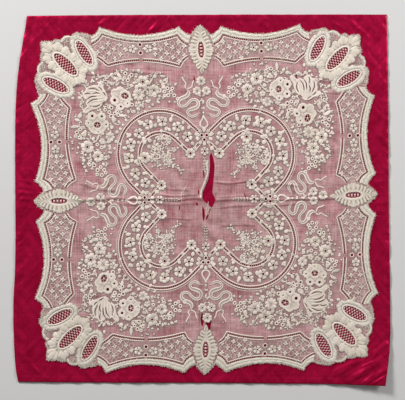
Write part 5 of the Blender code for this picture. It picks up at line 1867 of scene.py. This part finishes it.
        # The slits are strips of tone 0: painted shade between the plume's petals.
        work.lines(self.plume_slits, 1.0, 1.30, 0.0)
        work.flowers(rows_round(self.flowers), lawn)
        florets = rows_round([(u, v, 0, r) for u, v, r in self.florets])[:, [0, 1, 3]]
        lawn.eyes(florets * (1, 1, 0.9))
        rings.rings(with_sizes(florets, 1.45, 0.9), 11)
        leaves = rows_round([(*leaf, 0.75) for leaf in self.leaves]) * (1, 1, 1, 1.12, 1.45, 1.15)
        leaves = np.vstack([leaves, rows_round(self.filling(rng))])
        leaves[:, 2] += rng.normal(0, 7, len(leaves))
        leaves[:, 3:5] *= rng.uniform(0.9, 1.12, (len(leaves), 2))
        work.petals(leaves, PetalShape.LEAF)
        lawn.thicken(rows_round(self.flowers), 8.0, 0.18)
        lawn.thicken_inside(all_round([np.array(self.band, float)]), 0.15)
        lawn.thicken(rows_round([(76, 107.8, 0), (101.8, 80.8, 0), (104, 108, 0), (89, 92, 0)]), 13.0, 0.2)


@dataclass
class Bows:
    """A ribbon bow at each side between the wreath's ends, with three flowers and a bud."""

    # Stations of the ribbon: u, v, width
    ribbon: tuple = (
        (16.2, 109.8, 2.4), (14.3, 106.4, 3.6), (15.2, 103.2, 4.0), (18.6, 101.2, 4.0), (22.4, 99.6, 3.8),
        (24.8, 96.4, 3.2), (23.6, 93.2, 2.6), (20.4, 92.0, 2.5), (17.0, 93.0, 2.5), (14.4, 95.8, 2.5),
        (11.0, 98.4, 2.7), (7.0, 98.2, 2.9), (4.8, 94.9, 3.0), (6.0, 91.4, 3.5), (10.0, 89.6, 4.1),
        (14.0, 88.4, 4.0), (16.0, 86.0, 3.0), (14.2, 83.0, 2.5), (11.0, 81.8, 2.5), (7.8, 82.8, 2.5),
        (5.4, 84.6, 2.2), (2.6, 84.8, 1.8),
    )
    tails: tuple = (
        ((8.4, 118.2), (10.0, 114.8), (10.6, 111.8), (12.8, 110.2), (15.4, 109.4)),
        ((20.2, 121.6), (18.8, 118.4), (16.4, 114.8), (17.6, 111.6), (16.2, 109.2)),
    )
    # The ribbon's section: place across it, height, lightness; the lightness of 0 at both edges is painted
    # shade at its feet
    section: tuple = (
        (0, 0.02, 0.0), (0.07, 0.60, 0.95), (0.24, 0.72, 1.0), (0.35, 0.26, 0.30), (0.5, 0.30, 0.52),
        (0.65, 0.26, 0.30), (0.76, 0.72, 1.0), (0.93, 0.60, 0.95), (1, 0.02, 0.0),
    )
    flowers: tuple = (
        (-1.4, 117.0, 18, 8, 0.9, 5.3, 3.4, 0.95), (-5.6, 107.2, 0, 7, 0.8, 4.9, 3.4, 0.95),
        (3.6, 107.2, 30, 7, 0.8, 4.9, 3.4, 0.95),
    )
    leaves: tuple = (
        (-1.2, 101.4, 30, 4.2, 2.0, 0.7), (-1.2, 101.4, 150, 4.2, 2.0, 0.7),
        (-1.2, 100.6, 270, 4.4, 2.0, 0.7), (-1.2, 98.4, 320, 3.6, 1.8, 0.7),
        (-1.2, 98.4, 220, 3.6, 1.8, 0.7), (-0.4, 91.4, 300, 3.4, 1.8, 0.6),
        (-0.4, 91.4, 240, 3.4, 1.8, 0.6), (0, 93.6, 90, 3.4, 2.4, 0.7), (17.2, 120.6, 90, 2.2, 1.3, 0.5),
        (-17.2, 120.6, 90, 2.2, 1.3, 0.5), (0, 83.8, 90, 3.0, 2.2, 0.6),
    )
    drop: tuple = (
        (0, 82.6), (-1.3, 79.2), (-3.4, 75.8), (-3.4, 72.4), (0, 70.4), (3.4, 72.4), (3.4, 75.8),
        (1.3, 79.2),
    )

    def build(self, lawn: Lawn, work: Needlework, cords: Needlework) -> None:
        """Adds the four bows."""
        stations = np.array(self.ribbon)
        path = smooth_path(stations[:, :2], 0.8)
        share = np.linspace(0, 1, len(path))
        half = 0.56 * np.interp(share, np.linspace(0, 1, len(stations)), stations[:, 2])
        taper = np.clip(np.sin(math.pi * np.clip(share, 0.02, 0.98)) * 5, 0, 1)
        side = side_of(path) * (half * taper)[:, None]
        work.bands_round(path + side, path - side, self.section, True)
        for tail in self.tails:
            for copy in all_round([smooth_path(tail, 0.9)], True):
                work.cord(copy, 1.3, 0.8)
        work.flowers(rows_round(self.flowers), lawn)
        work.petals(rows_round(self.leaves), PetalShape.LEAF)
        cords.cords_round(smooth_path((*self.drop, self.drop[0]), 0.9)[:-1], 1.8, 0.6, closed=True)
        lawn.thicken(rows_round([(14, 95, 0), (-14, 95, 0)]), 11.0, 0.16)


@dataclass
class TornEdges:
    """The curled white edge beside the long tear, and loose threads."""

    curl: tuple = ((7.4, 47), (6.2, 42), (7.2, 34), (5.0, 24.6), (2.4, 17.6), (-0.6, 9.8), (-1.4, 2.8))
    threads: tuple = (
        ((-18, 18), (-21, 12), (-24, 8), (-24.6, 2), (-23.4, -4)),
        ((8.0, -2), (7.4, -8), (8.8, -14), (7.2, -19)), ((5.0, -9), (6.6, -14), (5.4, -20)),
        ((3.2, 50), (4.6, 44), (2.6, 38), (4.4, 31)),
    )

    def build(self, lie: ClothLie, lawn: Lawn, cords: Needlework) -> None:
        """Adds the curl and the threads, whose places are millimetres of the frame."""
        path = lawn.back_to_pattern(lie, smooth_path(self.curl, 1.2))
        side = side_of(path) * 1.1
        # The lower tones at the curl's feet and in its groove are painted shade.
        section = ((0, 0.1, 0.3), (0.2, 0.8, 0.85), (0.45, 0.5, 0.6), (0.7, 0.9, 0.9), (1, 0.0, 0.3))
        cords.band(path + side, path - side, section, ragged=0.5, knobbly=0.7)
        for stations in self.threads:
            cords.cord(lawn.back_to_pattern(lie, smooth_path(stations, 1.2)), 0.55, 0.5)


@dataclass
class Stage:
    """A plain pale floor, soft studio lights and the camera straight above, in metres."""

    floor_half: float = 1.6
    floor_level: float = -0.0004
    floor_colour: tuple = (0.62, 0.61, 0.60, 1)
    # Lights: name, place, size, power
    lights: tuple = (("key", (-1.25, 1.52, 1.06), 0.50, 58.0), ("fill", (1.15, 0.60, 0.85), 0.5, 11.0))
    sky: tuple = (1.0, 0.99, 0.97, 1)
    sky_strength: float = 0.21
    lens: float = 85
    sensor: float = 36
    view_middle: tuple = (0.00096, -0.0003)
    view_width: float = 405 * SQUARE * MM

    def build(self) -> None:
        """Builds all of it."""
        scene = bpy.context.scene
        half = self.floor_half
        mesh = bpy.data.meshes.new("floor")
        corners = [(x * half, y * half, self.floor_level) for x, y in ((-1, -1), (1, -1), (1, 1), (-1, 1))]
        mesh.from_pydata(corners, [], [(0, 1, 2, 3)])
        floor = bpy.data.objects.new("floor", mesh)
        scene.collection.objects.link(floor)
        material, _, shader = start_material("pale_floor", Roughness=0.9)
        shader.inputs["Base Color"].default_value = self.floor_colour
        mesh.materials.append(material)
        for name, place, size, power in self.lights:
            data = bpy.data.lights.new(name, "AREA")
            data.size, data.energy = size, power
            light = bpy.data.objects.new(name, data)
            light.location = place
            light.rotation_euler = Vector(place).to_track_quat("Z", "Y").to_euler()
            scene.collection.objects.link(light)
        world = bpy.data.worlds.new("studio")
        world.use_nodes = True
        world.node_tree.nodes["Background"].inputs[0].default_value = self.sky
        world.node_tree.nodes["Background"].inputs[1].default_value = self.sky_strength
        scene.world = world
        scene.view_settings.view_transform = "Standard"
        camera_data = bpy.data.cameras.new("camera")
        camera_data.lens, camera_data.sensor_width = self.lens, self.sensor
        camera = bpy.data.objects.new("camera", camera_data)
        camera.location = (*self.view_middle, self.view_width * self.lens / self.sensor)
        scene.collection.objects.link(camera)
        scene.camera = camera


def main() -> None:
    logging.basicConfig(level=logging.INFO, format="%(name)s: %(message)s")
    lie, lawn, edge = ClothLie(), Lawn(), ScallopedEdge()
    panels, ladder, quatrefoil = EdgePanels(), Ladder(), Quatrefoil()
    outline = edge.outline()
    border = Needlework("edge_band", FUZZY)
    nap = Needlework("edge_nap", FUZZY)
    panel_work = Needlework("panel_florets", SATIN)
    panel_rings = Needlework("panel_rings", CORDED)
    corner_work = Needlework("corner_leaves", LEAFY, shadow_skirt=0.34, uneven=0.2)
    medallion_work = Needlework("medallion_petals", LEAFY, shadow_skirt=0.3)
    cords = Needlework("couched_cords", CORDED)
    bars = Needlework("ladder_bars", DRAWN)
    net = Needlework("window_nets", NET, shadow_skirt=0.04, uneven=0.1)
    wreath = Needlework("wreath_flowers", SATIN)
    wreath_rings = Needlework("wreath_eyelets", SATIN)
    centre = Needlework("centre_flowers", SATIN)
    ribbon = Needlework("ribbon_bows", CORDED)

    edge.build(border, nap)
    outer_ladders, inner_ladders = (all_round(paths, True) for paths in panels.ladders(edge))
    ladder.build(outer_ladders, lawn, cords, bars, corded=False)
    for path in outer_ladders:
        half_way = len(path) // 2
        inner_side = -1 if (side_of(path)[half_way] * path[half_way]).sum() > 0 else 1
        cords.cord(resampled(path, 1.2), 1.1, 0.7, lean=inner_side * 1.45)
    ladder.build(inner_ladders, lawn, cords, bars, corded=True)
    panels.build(edge, lawn, panel_work, panel_rings)
    Medallions().build(lawn, medallion_work, cords, net)
    CornerWork().build(lawn, corner_work, cords, net, border, nap)
    for paths in quatrefoil.lines():
        ladder.build(paths, lawn, cords, bars, corded=True)
    quatrefoil.build(lawn, centre, cords)
    Bouquets().build(lawn, centre, cords)
    CornerFlowers().build(lawn, wreath, wreath_rings, net)
    Bows().build(lawn, ribbon, cords)
    TornEdges().build(lie, lawn, cords)

    silk = SilkSquare().build(lie, lie.place(outline))
    cloth = lawn.build(lie, outline)
    works = (
        border, nap, panel_work, panel_rings, corner_work, medallion_work, cords, bars, net, wreath,
        wreath_rings, centre, ribbon,
    )
    pieces = [work.lay(lie) for work in works]
    Stage().build()


if __name__ == "__main__":
    main()
